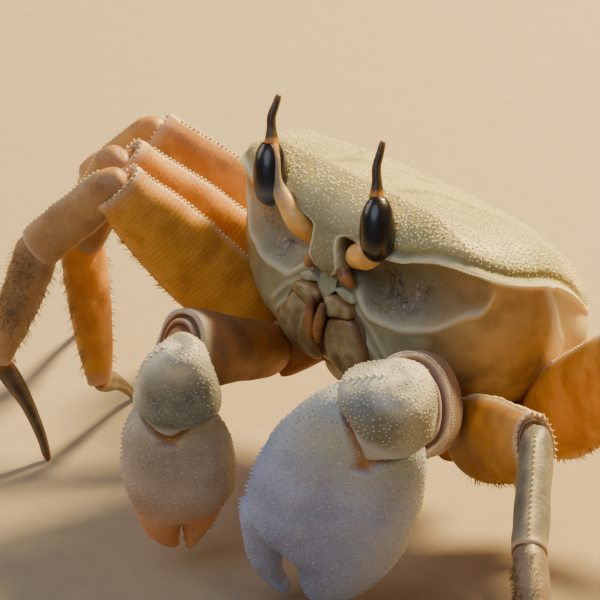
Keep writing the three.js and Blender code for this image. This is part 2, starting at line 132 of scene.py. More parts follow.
# %% Shader helpers
class Socket:
    """A number or colour that varies over a surface, and can be used in a sum."""

    def __init__(self, finish, socket):
        self.finish, self.socket = finish, socket

    def maths(self, operation, first, second=0.0, clamp=False):
        """One Math node."""
        return self.finish.node("ShaderNodeMath", {"operation": operation, "use_clamp": clamp},
                                {0: first, 1: second})

    def __add__(self, other):
        return self.maths("ADD", self, other)

    def __radd__(self, other):
        return self.maths("ADD", other, self)

    def __rsub__(self, other):
        return self.maths("SUBTRACT", other, self)

    def __mul__(self, other):
        return self.maths("MULTIPLY", self, other)

    def __rmul__(self, other):
        return self.maths("MULTIPLY", other, self)

    def clamped(self):
        return self.maths("ADD", self, 0.0, clamp=True)

    def sine(self):
        return self.maths("SINE", self)


def tint(hexadecimal):
    """Scene-linear colour of a hexadecimal screen colour."""
    parts = [int(hexadecimal[i:i + 2], 16) / 255 for i in (0, 2, 4)]
    return tuple(c / 12.92 if c <= 0.04045 else ((c + 0.055) / 1.055) ** 2.4 for c in parts)


class Finish:
    """A material under construction. Constants go straight on the shader's own sockets."""

    def __init__(self, name, **constants):
        self.material = bpy.data.materials.new(name)
        self.material.use_nodes = True
        self.tree = self.material.node_tree
        self.shader = self.tree.nodes["Principled BSDF"]
        for socket, value in constants.items():
            self.shader.inputs[socket.replace("_", " ").title()].default_value = value

    def node(self, kind, settings=None, inputs=None, output=0):
        """Any node, from its type, its settings and what goes into its sockets."""
        made = self.tree.nodes.new(kind)
        for key, value in (settings or {}).items():
            setattr(made, key, value)
        for key, value in (inputs or {}).items():
            self.join(value, made.inputs[key])
        return Socket(self, made.outputs[output])

    def join(self, value, socket):
        """Links a socket to another socket's value, or sets it to a plain one."""
        if isinstance(value, Socket):
            self.tree.links.new(value.socket, socket)
        else:
            wide = socket.type == "RGBA" and len(value) == 3
            socket.default_value = (*value, 1.0) if wide else value

    def feed(self, **values):
        """Ends a finish: what its shader's own sockets get."""
        for name, value in values.items():
            self.join(value, self.shader.inputs[name.replace("_", " ").title()])
        return self.material

    def place(self):
        """Where a point lies on the crab, in metres."""
        return self.node("ShaderNodeTexCoord", output="Object")

    def mask(self, name):
        """A number that the piece carries for each of its points."""
        return self.node("ShaderNodeAttribute", {"attribute_name": name}, output="Fac")

    def mix(self, first, second, factor):
        """From the first colour, at factor 0, to the second, at factor 1."""
        return self.node("ShaderNodeMix", {"data_type": "RGBA"},
                         {0: factor, 6: first, 7: second}, 2)

    def noise(self, size, detail=3.0, stretch=(1, 1, 1), seed=0.0):
        """Cloudy noise, 0 to 1, with lumps about size millimetres across."""
        scale = tuple(s / (size * MILLIMETRE) for s in stretch)
        where = self.node("ShaderNodeMapping", {"vector_type": "POINT"},
                          {"Vector": self.place(), "Scale": scale, "Location": (seed, 0, 0)})
        return self.node("ShaderNodeTexNoise", None,
                         {"Vector": where, "Scale": 1.0, "Detail": detail}, "Fac")

    def cells(self, size):
        """Distance to the middle of the nearest cell, with a cell about every size mm."""
        return self.node("ShaderNodeTexVoronoi", {"feature": "F1"},
                         {"Vector": self.place(), "Scale": 1 / (size * MILLIMETRE)}, "Distance")

    def step(self, value, low, high):
        """0 below low, 1 above high, smooth between."""
        return self.node("ShaderNodeMapRange", {"interpolation_type": "SMOOTHSTEP"},
                         {"Value": value, "From Min": low, "From Max": high})

    def bump(self, height, depth, strength=1.0):
        """Normal raised by height, 0 to 1, over depth millimetres."""
        return self.node("ShaderNodeBump", None, {"Height": height, "Strength": strength,
                                                  "Distance": depth * MILLIMETRE})


print("shader helpers ready")

# %% [markdown]
# A still model wants plain, soft light. A warm lamp behind the crab's back makes thin legs glow
# and draws a bright line along each edge; a cool, wide one in front fills the shadows.

# %% Floor, lights and surroundings
FLOOR_REACH = 900.0                                # from its middle to an edge
LAMPS_AIM = Vector(in_metres(on_trunk([0, 0, -12])))
# azimuth, elevation, distance and width in millimetres, watts, colour
LAMPS = {
    "sun_lamp": (178, 46, 620, 150, 18.0, tint("ffe09c")),
    "sky_lamp": (12, 50, 560, 420, 1.25, tint("d6e4ff")),
    "side_lamp": (-66, 30, 600, 360, 1.1, tint("fff0dc")),
}
SKY_TINT, SKY_STRENGTH = tint("dfe4ec"), 0.16

floor_finish = Finish("floor_paint", roughness=0.85)
speckle = floor_finish.noise(2.5, 6)
floor_finish.feed(
    base_color=floor_finish.mix(tint("a29276"), tint("b0a083"), speckle),
    normal=floor_finish.bump(floor_finish.noise(0.8, 4), 0.05))
floor_mesh = bpy.data.meshes.new("floor")
edge = FLOOR_REACH * MILLIMETRE
floor_mesh.from_pydata([(-edge, -edge, 0), (edge, -edge, 0), (edge, edge, 0), (-edge, edge, 0)],
                       [], [(0, 1, 2, 3)])
floor = bpy.data.objects.new("floor", floor_mesh)
floor_mesh.materials.append(floor_finish.material)
bpy.context.collection.objects.link(floor)

for name, (azimuth, elevation, distance, width, watts, colour) in LAMPS.items():
    lamp = bpy.data.objects.new(name, bpy.data.lights.new(name, "AREA"))
    lamp.data.shape = "DISK"
    lamp.data.size = width * MILLIMETRE
    lamp.data.energy = watts
    lamp.data.color = colour
    away = Vector(heading(azimuth, elevation))
    lamp.location = LAMPS_AIM + away * distance * MILLIMETRE
    lamp.rotation_euler = away.to_track_quat("Z", "Y").to_euler()
    bpy.context.collection.objects.link(lamp)

world = bpy.data.worlds.new("surroundings")
bpy.context.scene.world = world
world.use_nodes = True
sky = world.node_tree.nodes["Background"]
sky.inputs["Color"].default_value = (*SKY_TINT, 1)
sky.inputs["Strength"].default_value = SKY_STRENGTH
print("lamps:", ", ".join(LAMPS))

# %% [markdown]
# Every plate is a skin of closed rings. The rings come from a short table of stations, joined
# by a smooth curve that never swings past its stations. Beads, ridges and dents are then added
# by moving the points of this fine skin along its own outward direction.

# %% Helpers for shapes
def smooth(knots, values, at, free=False):
    """Smooth curve through values at knots. Unless it is free it never overshoots them."""
    knots, values = np.asarray(knots, float), np.asarray(values, float)
    flat = values.reshape(len(values), -1)
    step = np.diff(knots)[:, None]
    slope = np.diff(flat, axis=0) / step
    lean = np.vstack([slope[:1], (slope[1:] + slope[:-1]) / 2, slope[-1:]])
    if not free:
        calm = np.where(slope[1:] * slope[:-1] > 0,
                        3 * np.minimum(abs(slope[1:]), abs(slope[:-1])), 0)
        lean[1:-1] = np.clip(lean[1:-1], -calm, calm)
    shape = np.shape(at)
    at = np.ravel(np.asarray(at, float))
    left = np.clip(np.searchsorted(knots, at, side="right") - 1, 0, len(knots) - 2)
    gap = step[left]
    t = ((at - knots[left])[:, None] / gap).clip(0, 1)
    result = ((2 * t**3 - 3 * t**2 + 1) * flat[left] + (t**3 - 2 * t**2 + t) * gap * lean[left]
              + (3 * t**2 - 2 * t**3) * flat[left + 1] + (t**3 - t**2) * gap * lean[left + 1])
    return result.reshape(shape + values.shape[1:])


def way_along(points):
    """Distance travelled along a row of points, at each of them."""
    return np.r_[0, np.cumsum(np.linalg.norm(np.diff(points, axis=0), axis=1))]


def turns_round(columns):
    """Evenly spaced angles once round a ring."""
    return np.linspace(0, 2 * np.pi, columns, endpoint=False)


def points_at(way, points, at):
    """Points on a polyline at given distances travelled along it."""
    return np.stack([np.interp(at, way, points[:, axis]) for axis in range(3)], 1)


def along_path(points, count):
    """Evenly spaced points on a smooth curve through the given ones."""
    points = np.asarray(points, float)
    knots = way_along(points)
    fine = smooth(knots, points, np.linspace(0, knots[-1], 40 * len(points)), free=True)
    way = way_along(fine)
    return points_at(way, fine, np.linspace(0, way[-1], count))


def squarish(value, corner):
    """A sine or cosine bent so that its ring turns from a circle, at 2, to a square."""
    return np.sign(value) * np.abs(value) ** (2 / corner)


def ease(value, low, high):
    """0 below low, 1 above high, smooth between."""
    t = np.clip((value - low) / (high - low), 0, 1)
    return t * t * (3 - 2 * t)


def hump(value, centre, width):
    """Smooth hill, 1 at its centre."""
    return np.exp(-(((value - centre) / width) ** 2))


def outward(rings):
    """Unit directions out of a skin of rings."""
    across = np.roll(rings, -1, axis=1) - np.roll(rings, 1, axis=1)
    along = np.gradient(rings, axis=0)
    normal = np.cross(across, along)
    length = np.linalg.norm(normal, axis=-1, keepdims=True)
    normal = normal / np.maximum(length, 1e-9)
    facing = (normal * (rings - rings.mean(1, keepdims=True))).sum(-1)
    return normal if facing.sum() > 0 else -normal


def raised(rings, height):
    """A skin whose points are moved outward, each by its own height."""
    return rings + outward(rings) * height[..., None]


def distance_to(points, path):
    """Distance from each point to a polyline."""
    path = np.asarray(path, float)
    nearest = np.full(points.shape[:-1], np.inf)
    for start, end in zip(path[:-1], path[1:]):
        run = end - start
        t = np.clip(((points - start) @ run) / (run @ run), 0, 1)
        gap = np.linalg.norm(points - (start + t[..., None] * run), axis=-1)
        nearest = np.minimum(nearest, gap)
    return nearest


HASH, HASH_SCALE = (12.9898, 78.233, 37.719), 43758.5453


def value_noise(points, size, seed):
    """Smooth random number, -1 to 1, for each point, with lumps of the given size."""
    cell = np.asarray(points) / size + 1000.0
    corner = np.floor(cell).astype(int)
    t = cell - corner
    t = t * t * (3 - 2 * t)
    total = 0.0
    for i in (0, 1):
        for j in (0, 1):
            for k in (0, 1):
                at = corner + (i, j, k)
                hashed = np.sin(at[..., 0] * HASH[0] + at[..., 1] * HASH[1]
                                + at[..., 2] * HASH[2] + seed) * HASH_SCALE
                share = (np.abs(1 - i - t[..., 0]) * np.abs(1 - j - t[..., 1])
                         * np.abs(1 - k - t[..., 2]))
                total = total + share * (hashed - np.floor(hashed))
    return 2 * total - 1


# %% Making pieces
BODY = "root"
made = {}


def keep(piece, finish, replaces=()):
    """Gives a piece its finish, lets it ride on the crab and hides the solids it stands for."""
    if finish is not None and not piece.data.materials:
        piece.data.materials.append(finish)
    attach(piece, BODY)
    if replaces:
        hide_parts(*replaces)
    piece.data.calc_loop_triangles()
    made[piece.name] = len(piece.data.loop_triangles)
    return piece


def mesh_piece(name, points, faces, masks=None):
    """Smooth-shaded mesh object from points in millimetres, with a number per point in masks."""
    mesh = bpy.data.meshes.new(name)
    mesh.from_pydata(in_metres(points).tolist(), [], faces)
    mesh.shade_smooth()
    for key, values in (masks or {}).items():
        layer = mesh.attributes.new(key, "FLOAT", "POINT")
        layer.data.foreach_set("value", np.ascontiguousarray(values, np.float32))
    piece = bpy.data.objects.new(name, mesh)
    bpy.context.collection.objects.link(piece)
    return piece


def skin(name, rings, masks=None):
    """Closed mesh through rings of points, (rows, columns, 3), with a pole at each end."""
    rows, columns, _ = rings.shape
    points = np.concatenate([rings.reshape(-1, 3), rings[[0, -1]].mean(1)])
    row, column = np.meshgrid(np.arange(rows - 1), np.arange(columns), indexing="ij")
    a = (row * columns + column).ravel()
    b = (row * columns + (column + 1) % columns).ravel()
    quads = np.stack([a, b, b + columns, a + columns], 1)
    first = np.arange(columns)
    following = (first + 1) % columns
    last = (rows - 1) * columns
    pole = rows * columns
    fan = np.stack([first * 0 + pole, following, first], 1)
    end_fan = np.stack([first * 0 + pole + 1, last + first, last + following], 1)
    triangles = np.concatenate([quads[:, [0, 1, 2]], quads[:, [0, 2, 3]], fan, end_fan])
    corners = points[triangles]
    volume = (corners[:, 0] * np.cross(corners[:, 1], corners[:, 2])).sum()
    faces = quads.tolist() + fan.tolist() + end_fan.tolist()
    if volume < 0:
        faces = [face[::-1] for face in faces]
    spread = {key: np.r_[values.ravel(), values[0].mean(), values[-1].mean()]
              for key, values in (masks or {}).items()}
    return mesh_piece(name, points, faces, spread)


print("shape helpers ready")

# %% [markdown]
# Beads, granules and teeth repeat by the hundred, so Geometry Nodes make them. One tree
# scatters small beads over a surface, as densely as the surface's `grain` mask says. Two more
# set a bead or a blunt tooth on each vertex they are given, turned to its `aim` and scaled by
# its `size`. Each run ends as a plain mesh.

# %% Geometry Nodes helpers
class Recipe:
    """A Geometry Nodes tree with named inputs, run once on a mesh."""

    def __init__(self, name):
        self.tree = bpy.data.node_groups.new(name, "GeometryNodeTree")
        self.tree.interface.new_socket("Geometry", in_out="OUTPUT",
                                       socket_type="NodeSocketGeometry")
        self.sockets = {}
        self.source = self.tree.nodes.new("NodeGroupInput")
        self.goal = self.tree.nodes.new("NodeGroupOutput")
        self.input("Geometry", "NodeSocketGeometry")

    def input(self, name, kind):
        """A named input, and the socket that carries it in the tree."""
        made_socket = self.tree.interface.new_socket(name, in_out="INPUT", socket_type=kind)
        self.sockets[name] = made_socket.identifier
        return self.source.outputs[name]

    def node(self, kind, settings=None, inputs=None, output=0):
        """Any node, as in a finish. Returns one of its outputs."""
        node = self.tree.nodes.new(kind)
        for key, value in (settings or {}).items():
            setattr(node, key, value)
        for key, value in (inputs or {}).items():
            if isinstance(value, bpy.types.NodeSocket):
                self.tree.links.new(value, node.inputs[key])
            else:
                node.inputs[key].default_value = value
        return node.outputs[output]

    def finish(self, geometry, material):
        """Ends the tree with real, smooth and painted geometry."""
        real = self.node("GeometryNodeRealizeInstances", None, {"Geometry": geometry})
        rounded = self.node("GeometryNodeSetShadeSmooth", None, {"Geometry": real})
        painted = self.node("GeometryNodeSetMaterial", None,
                            {"Geometry": rounded, "Material": material})
        self.tree.links.new(painted, self.goal.inputs["Geometry"])

    def run(self, name, base, **values):
        """A new plain object made by this tree from the mesh of base."""
        holder = bpy.data.objects.new(name, base.data.copy())
        bpy.context.collection.objects.link(holder)
        modifier = holder.modifiers.new("recipe", "NODES")
        modifier.node_group = self.tree
        for key, value in values.items():
            modifier[self.sockets[key.replace("_", " ").title()]] = value
        evaluated = holder.evaluated_get(bpy.context.evaluated_depsgraph_get())
        mesh = bpy.data.meshes.new_from_object(evaluated)
        holder.modifiers.remove(modifier)
        holder.data = mesh
        return holder


SMALLEST_BEAD, LARGEST_BEAD = 0.75, 1.15           # shares of the named radius
CROWDING = 1.3                                     # beads tried for each square of spacing
STUD_SIDES, TOOTH_TIP = 7, 0.16                    # a tooth's tip is a share of its root


def scatter_recipe():
    """Small beads scattered over a surface, half sunk in it."""
    recipe = Recipe("scattered_beads")
    material = recipe.input("Material", "NodeSocketMaterial")
    spacing = recipe.input("Spacing", "NodeSocketFloat")
    radius = recipe.input("Radius", "NodeSocketFloat")
    thickest = recipe.input("Most Per Area", "NodeSocketFloat")
    seed = recipe.input("Seed", "NodeSocketInt")
    grain = recipe.node("GeometryNodeInputNamedAttribute", {"data_type": "FLOAT"},
                        {"Name": "grain"})
    spots = recipe.node("GeometryNodeDistributePointsOnFaces",
                        {"distribute_method": "POISSON"},
                        {"Mesh": recipe.source.outputs["Geometry"], "Distance Min": spacing,
                         "Density Max": thickest, "Density Factor": grain, "Seed": seed})
    bead = recipe.node("GeometryNodeMeshIcoSphere", None, {"Radius": radius,
                                                          "Subdivisions": 1})
    scale = recipe.node("FunctionNodeRandomValue", {"data_type": "FLOAT"},
                        {2: SMALLEST_BEAD, 3: LARGEST_BEAD, "Seed": seed}, 1)
    beads = recipe.node("GeometryNodeInstanceOnPoints", None,
                        {"Points": spots, "Instance": bead, "Scale": scale})
    recipe.finish(beads, material)
    return recipe


def stud_recipe(name, pointed):
    """A bead or a blunt tooth on every vertex of its input, turned to its aim."""
    recipe = Recipe(name)
    material = recipe.input("Material", "NodeSocketMaterial")
    length = recipe.input("Length", "NodeSocketFloat")
    if pointed:
        shape = recipe.node("GeometryNodeMeshCone", None,
                            {"Vertices": STUD_SIDES, "Side Segments": 2,
                             "Radius Top": TOOTH_TIP, "Radius Bottom": 1.0,
                             "Depth": length})
        lift = recipe.node("ShaderNodeCombineXYZ", None, {"Z": -0.5})
        shape = recipe.node("GeometryNodeTransform", None,
                            {"Geometry": shape, "Translation": lift})
    else:
        shape = recipe.node("GeometryNodeMeshUVSphere", None,
                            {"Segments": STUD_SIDES, "Rings": 4, "Radius": 1.0})
    aim = recipe.node("GeometryNodeInputNamedAttribute", {"data_type": "FLOAT_VECTOR"},
                      {"Name": "aim"})
    size = recipe.node("GeometryNodeInputNamedAttribute", {"data_type": "FLOAT"},
                       {"Name": "size"})
    turned_to = recipe.node("FunctionNodeAlignRotationToVector", {"axis": "Z"},
                            {"Vector": aim})
    studs = recipe.node("GeometryNodeInstanceOnPoints", None,
                        {"Points": recipe.source.outputs["Geometry"], "Instance": shape,
                         "Rotation": turned_to, "Scale": size})
    recipe.finish(studs, material)
    return recipe


SCATTER = scatter_recipe()
BEADS = stud_recipe("beads", pointed=False)
TEETH = stud_recipe("teeth", pointed=True)


def scatter(name, base, finish, spacing, radius, seed):
    """Beads over a piece: spacing and radius in millimetres."""
    most = CROWDING / (spacing * MILLIMETRE) ** 2
    return SCATTER.run(name, base, material=finish, spacing=spacing * MILLIMETRE,
                       radius=radius * MILLIMETRE, most_per_area=most, seed=seed)


def studs(name, points, aims, sizes, finish, recipe=BEADS, length=2.2):
    """Beads or teeth at points, all in millimetres; a size is a radius."""
    points = np.asarray(points, float)
    spots = bpy.data.meshes.new(name + "_spots")
    spots.from_pydata(in_metres(points).tolist(), [], [])
    aim = spots.attributes.new("aim", "FLOAT_VECTOR", "POINT")
    aim.data.foreach_set("vector", unit(aims).ravel())
    size = spots.attributes.new("size", "FLOAT", "POINT")
    size.data.foreach_set("value", np.broadcast_to(np.asarray(sizes, float) * MILLIMETRE,
                                                   len(points)).copy())
    base = bpy.data.objects.new(name + "_base", spots)
    return recipe.run(name, base, material=finish, length=length)


print("geometry recipes:", SCATTER.tree.name, BEADS.tree.name, TEETH.tree.name)

# %% [markdown]
# The carapace is a box-like shield: a low dome above a fine beaded margin, side walls that fall
# in below it, and a front cut into two deep eye sockets with a drooping tongue, the front lobe,
# between them. Its skin starts from the same rings as the solid. Sockets, ridges and furrows
# are then carved by moving points in or out, with masks that the paint will follow.

# %% Sizes of the carapace
SHELL_HALF_WIDTH, SHELL_FRONT, SHELL_BACK = 20.4, 17.2, 13.2
FRONT_CORNER, BACK_CORNER = 3.3, 1.75
CROWN, MARGIN_HEIGHT = 5.7, 0.5
MARGIN_TURN, MARGIN_FALL = -13.0, 0.43             # y where the margin starts to fall, its slope
SHOULDER = (1.3, -3.4, 4.4)                        # how far it bulges, y of its middle, reach
WAIST = (1.0, 3.8, 2.6)                            # how far it dips behind the shoulder
FRONT_MARGIN = [(0, -0.65), (10.0, -0.7), (12.2, 0.0), (14.6, 0.58), (16.0, 0.45), (17.5, 0.0),
                (20.4, -0.1)]                           # x, height over the plain margin
# height, half width, front and back reach, squareness of the wall below the margin
WALL = np.array([
    (MARGIN_HEIGHT, SHELL_HALF_WIDTH, SHELL_FRONT, SHELL_BACK, FRONT_CORNER),
    (-4.0, 20.9, 14.9, 13.3, 3.3), (-8.5, 20.2, 15.9, 13.4, 3.1),
    (-13.0, 18.9, 15.8, 13.0, 2.9), (-16.8, 16.4, 13.6, 12.0, 2.7),
    (-19.0, 12.0, 11.0, 10.0, 2.5)])
# landmarks on the crab's left, in the trunk's axes
LOBE_EDGE = [(-5.9, 0.1), (-5.7, 0.9), (-5.0, 1.8), (-4.0, 2.3), (-3.0, 2.2), (-1.8, 2.0),
             (-0.9, 2.0), (-0.4, 2.4), (0.0, 3.2), (0.4, 4.4)]          # height, half width
LOBE_FRONT = [(-6.2, -16.2), (-5.2, -17.0), (-3.8, -17.5), (-1.6, -17.6), (0.0, -17.3),
              (1.6, -16.8)]                                             # height, y
SOCKET_FLOOR = [(2.0, -6.0), (3.9, -6.6), (6.7, -8.5), (9.6, -8.5), (12.3, -7.9),
                (14.2, -7.1), (16.3, -5.3), (18.0, -4.1), (18.8, -2.0)]  # x, height
SOCKET_DEPTH = [(2.4, 1.0), (5.0, 1.8), (9.0, 1.6), (13.0, 1.2), (16.5, 0.6), (18.8, 0.0)]
SIDE_RIDGE = [(20.4, -4.4, -2.5), (20.8, -3.6, -4.3), (21.0, -2.9, -7.2), (20.4, -1.2, -10.5),
              (19.4, 1.2, -13.4)]
CHEEK_RIDGE = [(2.7, -15.9, -6.9), (3.3, -16.0, -8.6), (4.6, -16.1, -10.0),
               (6.1, -16.0, -11.5), (7.4, -15.8, -12.7), (8.6, -15.3, -14.2)]
SECOND_RIDGE = [(4.5, -16.1, -8.5), (6.4, -16.0, -9.7), (7.6, -15.8, -11.1),
                (8.8, -15.5, -12.4)]
# furrows on the back: the neck groove and the gill chamber's edge
FURROWS = [
    [(4.6, -11.5, 4.0), (5.6, -7.0, 4.5), (8.8, -3.6, 3.2), (10.8, -1.8, 2.2)],
    [(3.0, 0.5, 2.4), (4.6, 3.4, 0.8), (5.2, 6.6, -1.0), (5.6, 9.6, -4.0)],
    [(11.9, -14.6, 2.2), (13.2, -12.2, 2.9), (14.6, -11.2, 2.4)],
]
SHELL_COLUMNS, DOME_ROWS, WALL_ROWS = 470, 78, 118
FRONT_STARTS, FRONT_DENSITY = -9, 1.9              # y, and how much closer the points stand
DOME_CURVE, DOME_CROWDING, WALL_CROWDING = 2.8, 1.8, 1.25


def outline(half_width, front, back, front_corner, back_corner, turns):
    """Width and depth of the shell's rounded box at given turns."""
    ahead = np.sin(turns) < 0
    corner = np.where(ahead, front_corner, back_corner)
    return (half_width * squarish(np.cos(turns), corner),
            np.where(ahead, front, back) * squarish(np.sin(turns), corner))


def margin_height(y, side=0.0):
    """Height of the margin at a depth. Its bulge and dip show only at the side."""
    (bulge, bulge_y, bulge_reach), (dip, dip_y, dip_reach) = SHOULDER, WAIST
    return (MARGIN_HEIGHT - MARGIN_FALL * np.maximum(0, y - MARGIN_TURN)
            + side * (bulge * hump(y, bulge_y, bulge_reach) - dip * hump(y, dip_y, dip_reach)))


def even_turns(columns):
    """Turns round the outline that space its points evenly, closer together in front."""
    fine = np.linspace(0, 2 * np.pi, 40001)
    x, y = outline(*WALL[0, 1:4], FRONT_CORNER, BACK_CORNER, fine)
    weight = np.where(y[1:] < FRONT_STARTS, FRONT_DENSITY, 1.0)
    length = np.r_[0, np.cumsum(np.hypot(np.diff(x), np.diff(y)) * weight)]
    return np.interp(np.linspace(0, length[-1], columns, endpoint=False), length, fine)


def wall_front(x, z):
    """How far forward the plain front wall stands at a width and a height."""
    order = WALL[::-1]
    _, half_width, front, _, corner = smooth(order[:, 0], order, np.ravel(z)).T
    reach = 1 - np.minimum(1, np.abs(np.ravel(x) / half_width) ** corner)
    return (-front * reach ** (1 / corner)).reshape(np.shape(z))


# %% The plain carapace
def plain_shell():
    """Rings of the carapace from its crown to its lower edge, before any carving."""
    turns = even_turns(SHELL_COLUMNS)
    x, y = outline(*WALL[0, 1:4], FRONT_CORNER, BACK_CORNER, turns)
    wave = ease(-y, 8.0, 11.0) * smooth(*np.array(FRONT_MARGIN).T, abs(x))
    rows = []
    for share in np.linspace(0.02, 1, DOME_ROWS):
        reach = 1 - (1 - share) ** DOME_CROWDING
        side = np.minimum(1, (x * reach / 17) ** 4)
        dome = CROWN * math.sqrt(max(0, 1 - reach**DOME_CURVE))
        height = margin_height(y * reach, side) + dome + wave * reach**6
        rows.append(np.stack([x * reach, y * reach, height], 1))
    levels = [rows[-1]]
    for level, (z, half_width, front, back, corner) in enumerate(WALL[1:], 1):
        ring_x, ring_y = outline(half_width, front, back, corner, BACK_CORNER, turns)
        hang = 1 - level / (len(WALL) - 1)
        levels.append(np.stack([ring_x, ring_y,
                                z + (margin_height(ring_y) - MARGIN_HEIGHT) * hang], 1))
    steps = np.linspace(0, 1, WALL_ROWS + 1)[1:] ** WALL_CROWDING * (len(levels) - 1)
    rows.extend(smooth(np.arange(len(levels)), np.array(levels), steps))
    return np.array(rows)


def carved(rings):
    """Adds the lobe, sockets and ridges, and returns the skin and its masks."""
    x, y, z = np.moveaxis(rings, -1, 0)
    width = abs(x)
    mirrored = np.stack([width, y, z], -1)
    ahead = ease(-y, 8.0, 12.0)
    below = np.zeros_like(x)
    below[DOME_ROWS:] = 1.0

    edge = smooth(*np.array(LOBE_EDGE).T, z)
    lobe = ahead * ease(edge - width, -0.22, 0.2) * ease(z, -6.35, -5.9) * ease(-z, -2.6, -0.2)
    lobe_rim = (ahead * hump(width, edge - 0.3, 0.17) * ease(z, -6.5, -6.0)
                * ease(-z, -0.6, 0.2))
    lobe_side = (ahead * below * ease(width - edge, -0.1, 0.15)
                 * (1 - ease(width - edge, 0.5, 1.5)) * ease(z, -6.6, -6.0) * ease(-z, 0.2, 1.0))

    floor_z = smooth(*np.array(SOCKET_FLOOR).T, width.ravel()).reshape(x.shape)
    deep = smooth(*np.array(SOCKET_DEPTH).T, width.ravel()).reshape(x.shape)
    share = (z - floor_z) / (rings[DOME_ROWS - 1, :, 2] - floor_z)
    inside = ahead * below * (1 - ease(width, 18.2, 19.0)) * ease(width - edge, 0.0, 0.7)
    socket = inside * ease(share, 0.0, 0.3) * (1 - 0.55 * ease(share, 0.86, 1.02))
    socket_rim = (ahead * below * hump(z, floor_z, 0.5) * ease(width, 3.2, 4.6)
                  * (1 - ease(width, 18.4, 19.2)))

    step = np.linalg.norm(np.diff(rings, axis=0), axis=-1)
    drop = np.concatenate([np.zeros((1, x.shape[1])), np.cumsum(step, axis=0)])
    margin = drop - drop[DOME_ROWS - 1]
    along_rim = ease(width, 4.0, 6.0) * (1 - ease(y, 0.0, 9.0))
    rim = along_rim * hump(margin, 0.05, 0.4)
    gutter = along_rim * hump(margin, -0.95, 0.5)

    side_ridge = hump(distance_to(mirrored, np.array(SIDE_RIDGE)), 0, 0.5) * below
    cheek = hump(distance_to(mirrored, np.array(CHEEK_RIDGE)), 0, 0.36) * below
    second = hump(distance_to(mirrored, np.array(SECOND_RIDGE)), 0, 0.32) * below
    furrow = sum(hump(distance_to(mirrored * (1, 1, 0.6), np.array(path) * (1, 1, 0.6)), 0, 0.9)
                 for path in FURROWS) * (1 - below)
    brow = ahead * hump(x, 0, 0.7) * hump(z, 4.2, 3.0) * (1 - below)
    lumps = value_noise(rings, 6.0, 1.0) * 0.16 + value_noise(rings, 2.4, 2.0) * 0.05

    height = (0.36 * rim - 0.3 * gutter + 0.34 * side_ridge + 0.36 * cheek + 0.22 * second
              + 0.3 * socket_rim - 0.18 * furrow - 0.14 * brow
              + lumps * (1 - 0.7 * below)
              - 0.15 * ahead * below * value_noise(rings, 1.6, 5.0) * inside)
    result = raised(rings, height)
    result[..., 1] += deep * socket
    lobe_y = smooth(*np.array(LOBE_FRONT).T, z.ravel()).reshape(x.shape)
    bow = 0.35 * (width / np.maximum(edge, 0.5)).clip(0, 1) ** 2
    result[..., 1] += lobe * np.minimum(0, lobe_y + bow - result[..., 1])
    result[..., 1] -= 0.18 * lobe_rim

    masks = {
        "rim": np.clip(rim + 0.9 * lobe_rim + 0.8 * side_ridge + 0.7 * cheek + 0.5 * second
                       + 0.45 * socket_rim, 0, 1),
        "wall": below * ease(width + 0.55 * (y + 17), 8.0, 16.0),
        "front": np.clip(ahead * (1 - ease(width, 9, 16)) * ease(-z, -3.2, 0.5)
                         + below * ahead * (1 - ease(width, 8, 15)), 0, 1),
        # inside of each eye socket, painted darker as shade
        "pit": inside * ease(share, 0.02, 0.3),
        "sandy": inside * hump(share, 0.42, 0.3) * hump(width, 9.0, 4.5)
        * ease(value_noise(rings, 2.2, 9.0), -0.35, 0.25),
        "pale": ease(y, -4.2, -2.6) * below * ease(width, 17.5, 19.5),
        # sides of the front lobe, towards the sockets: painted shade
        "dark": lobe_side,
        # furrows and the gutter behind the margin, darkened in the paint as shade
        "furrow": np.clip(furrow + gutter, 0, 1),
        "pebbled": (1 - below) * ease(-margin, 0.4, 1.2) + 0.6 * lobe,
        "grain": (1 - below) * (1 - lobe) * ease(width, 3, 12) * ease(-margin, 0.5, 1.3),
    }
    return result, masks


shell_rings, shell_masks = carved(plain_shell())
print("carapace skin:", shell_rings.shape[:2], "rows and columns")

# %% [markdown]
# A living shell isn't one colour. Its back is pale, greenish cream, its front lobe and face
# grey-green, its side walls ochre where light shines through, and its raised edges nearly
# white. The masks mix these, painted shade darkens the sockets, the furrows and the sides of
# the front lobe, clouds of noise blur them, and pebbles and grit raise the surface.

# %% Carapace finish
CREAM, EDGE_WHITE = tint("efe4b4"), tint("ebe4c4")
SHELL_SCATTER = {"subsurface_radius": (0.0035, 0.0018, 0.0008), "subsurface_scale": 0.5}


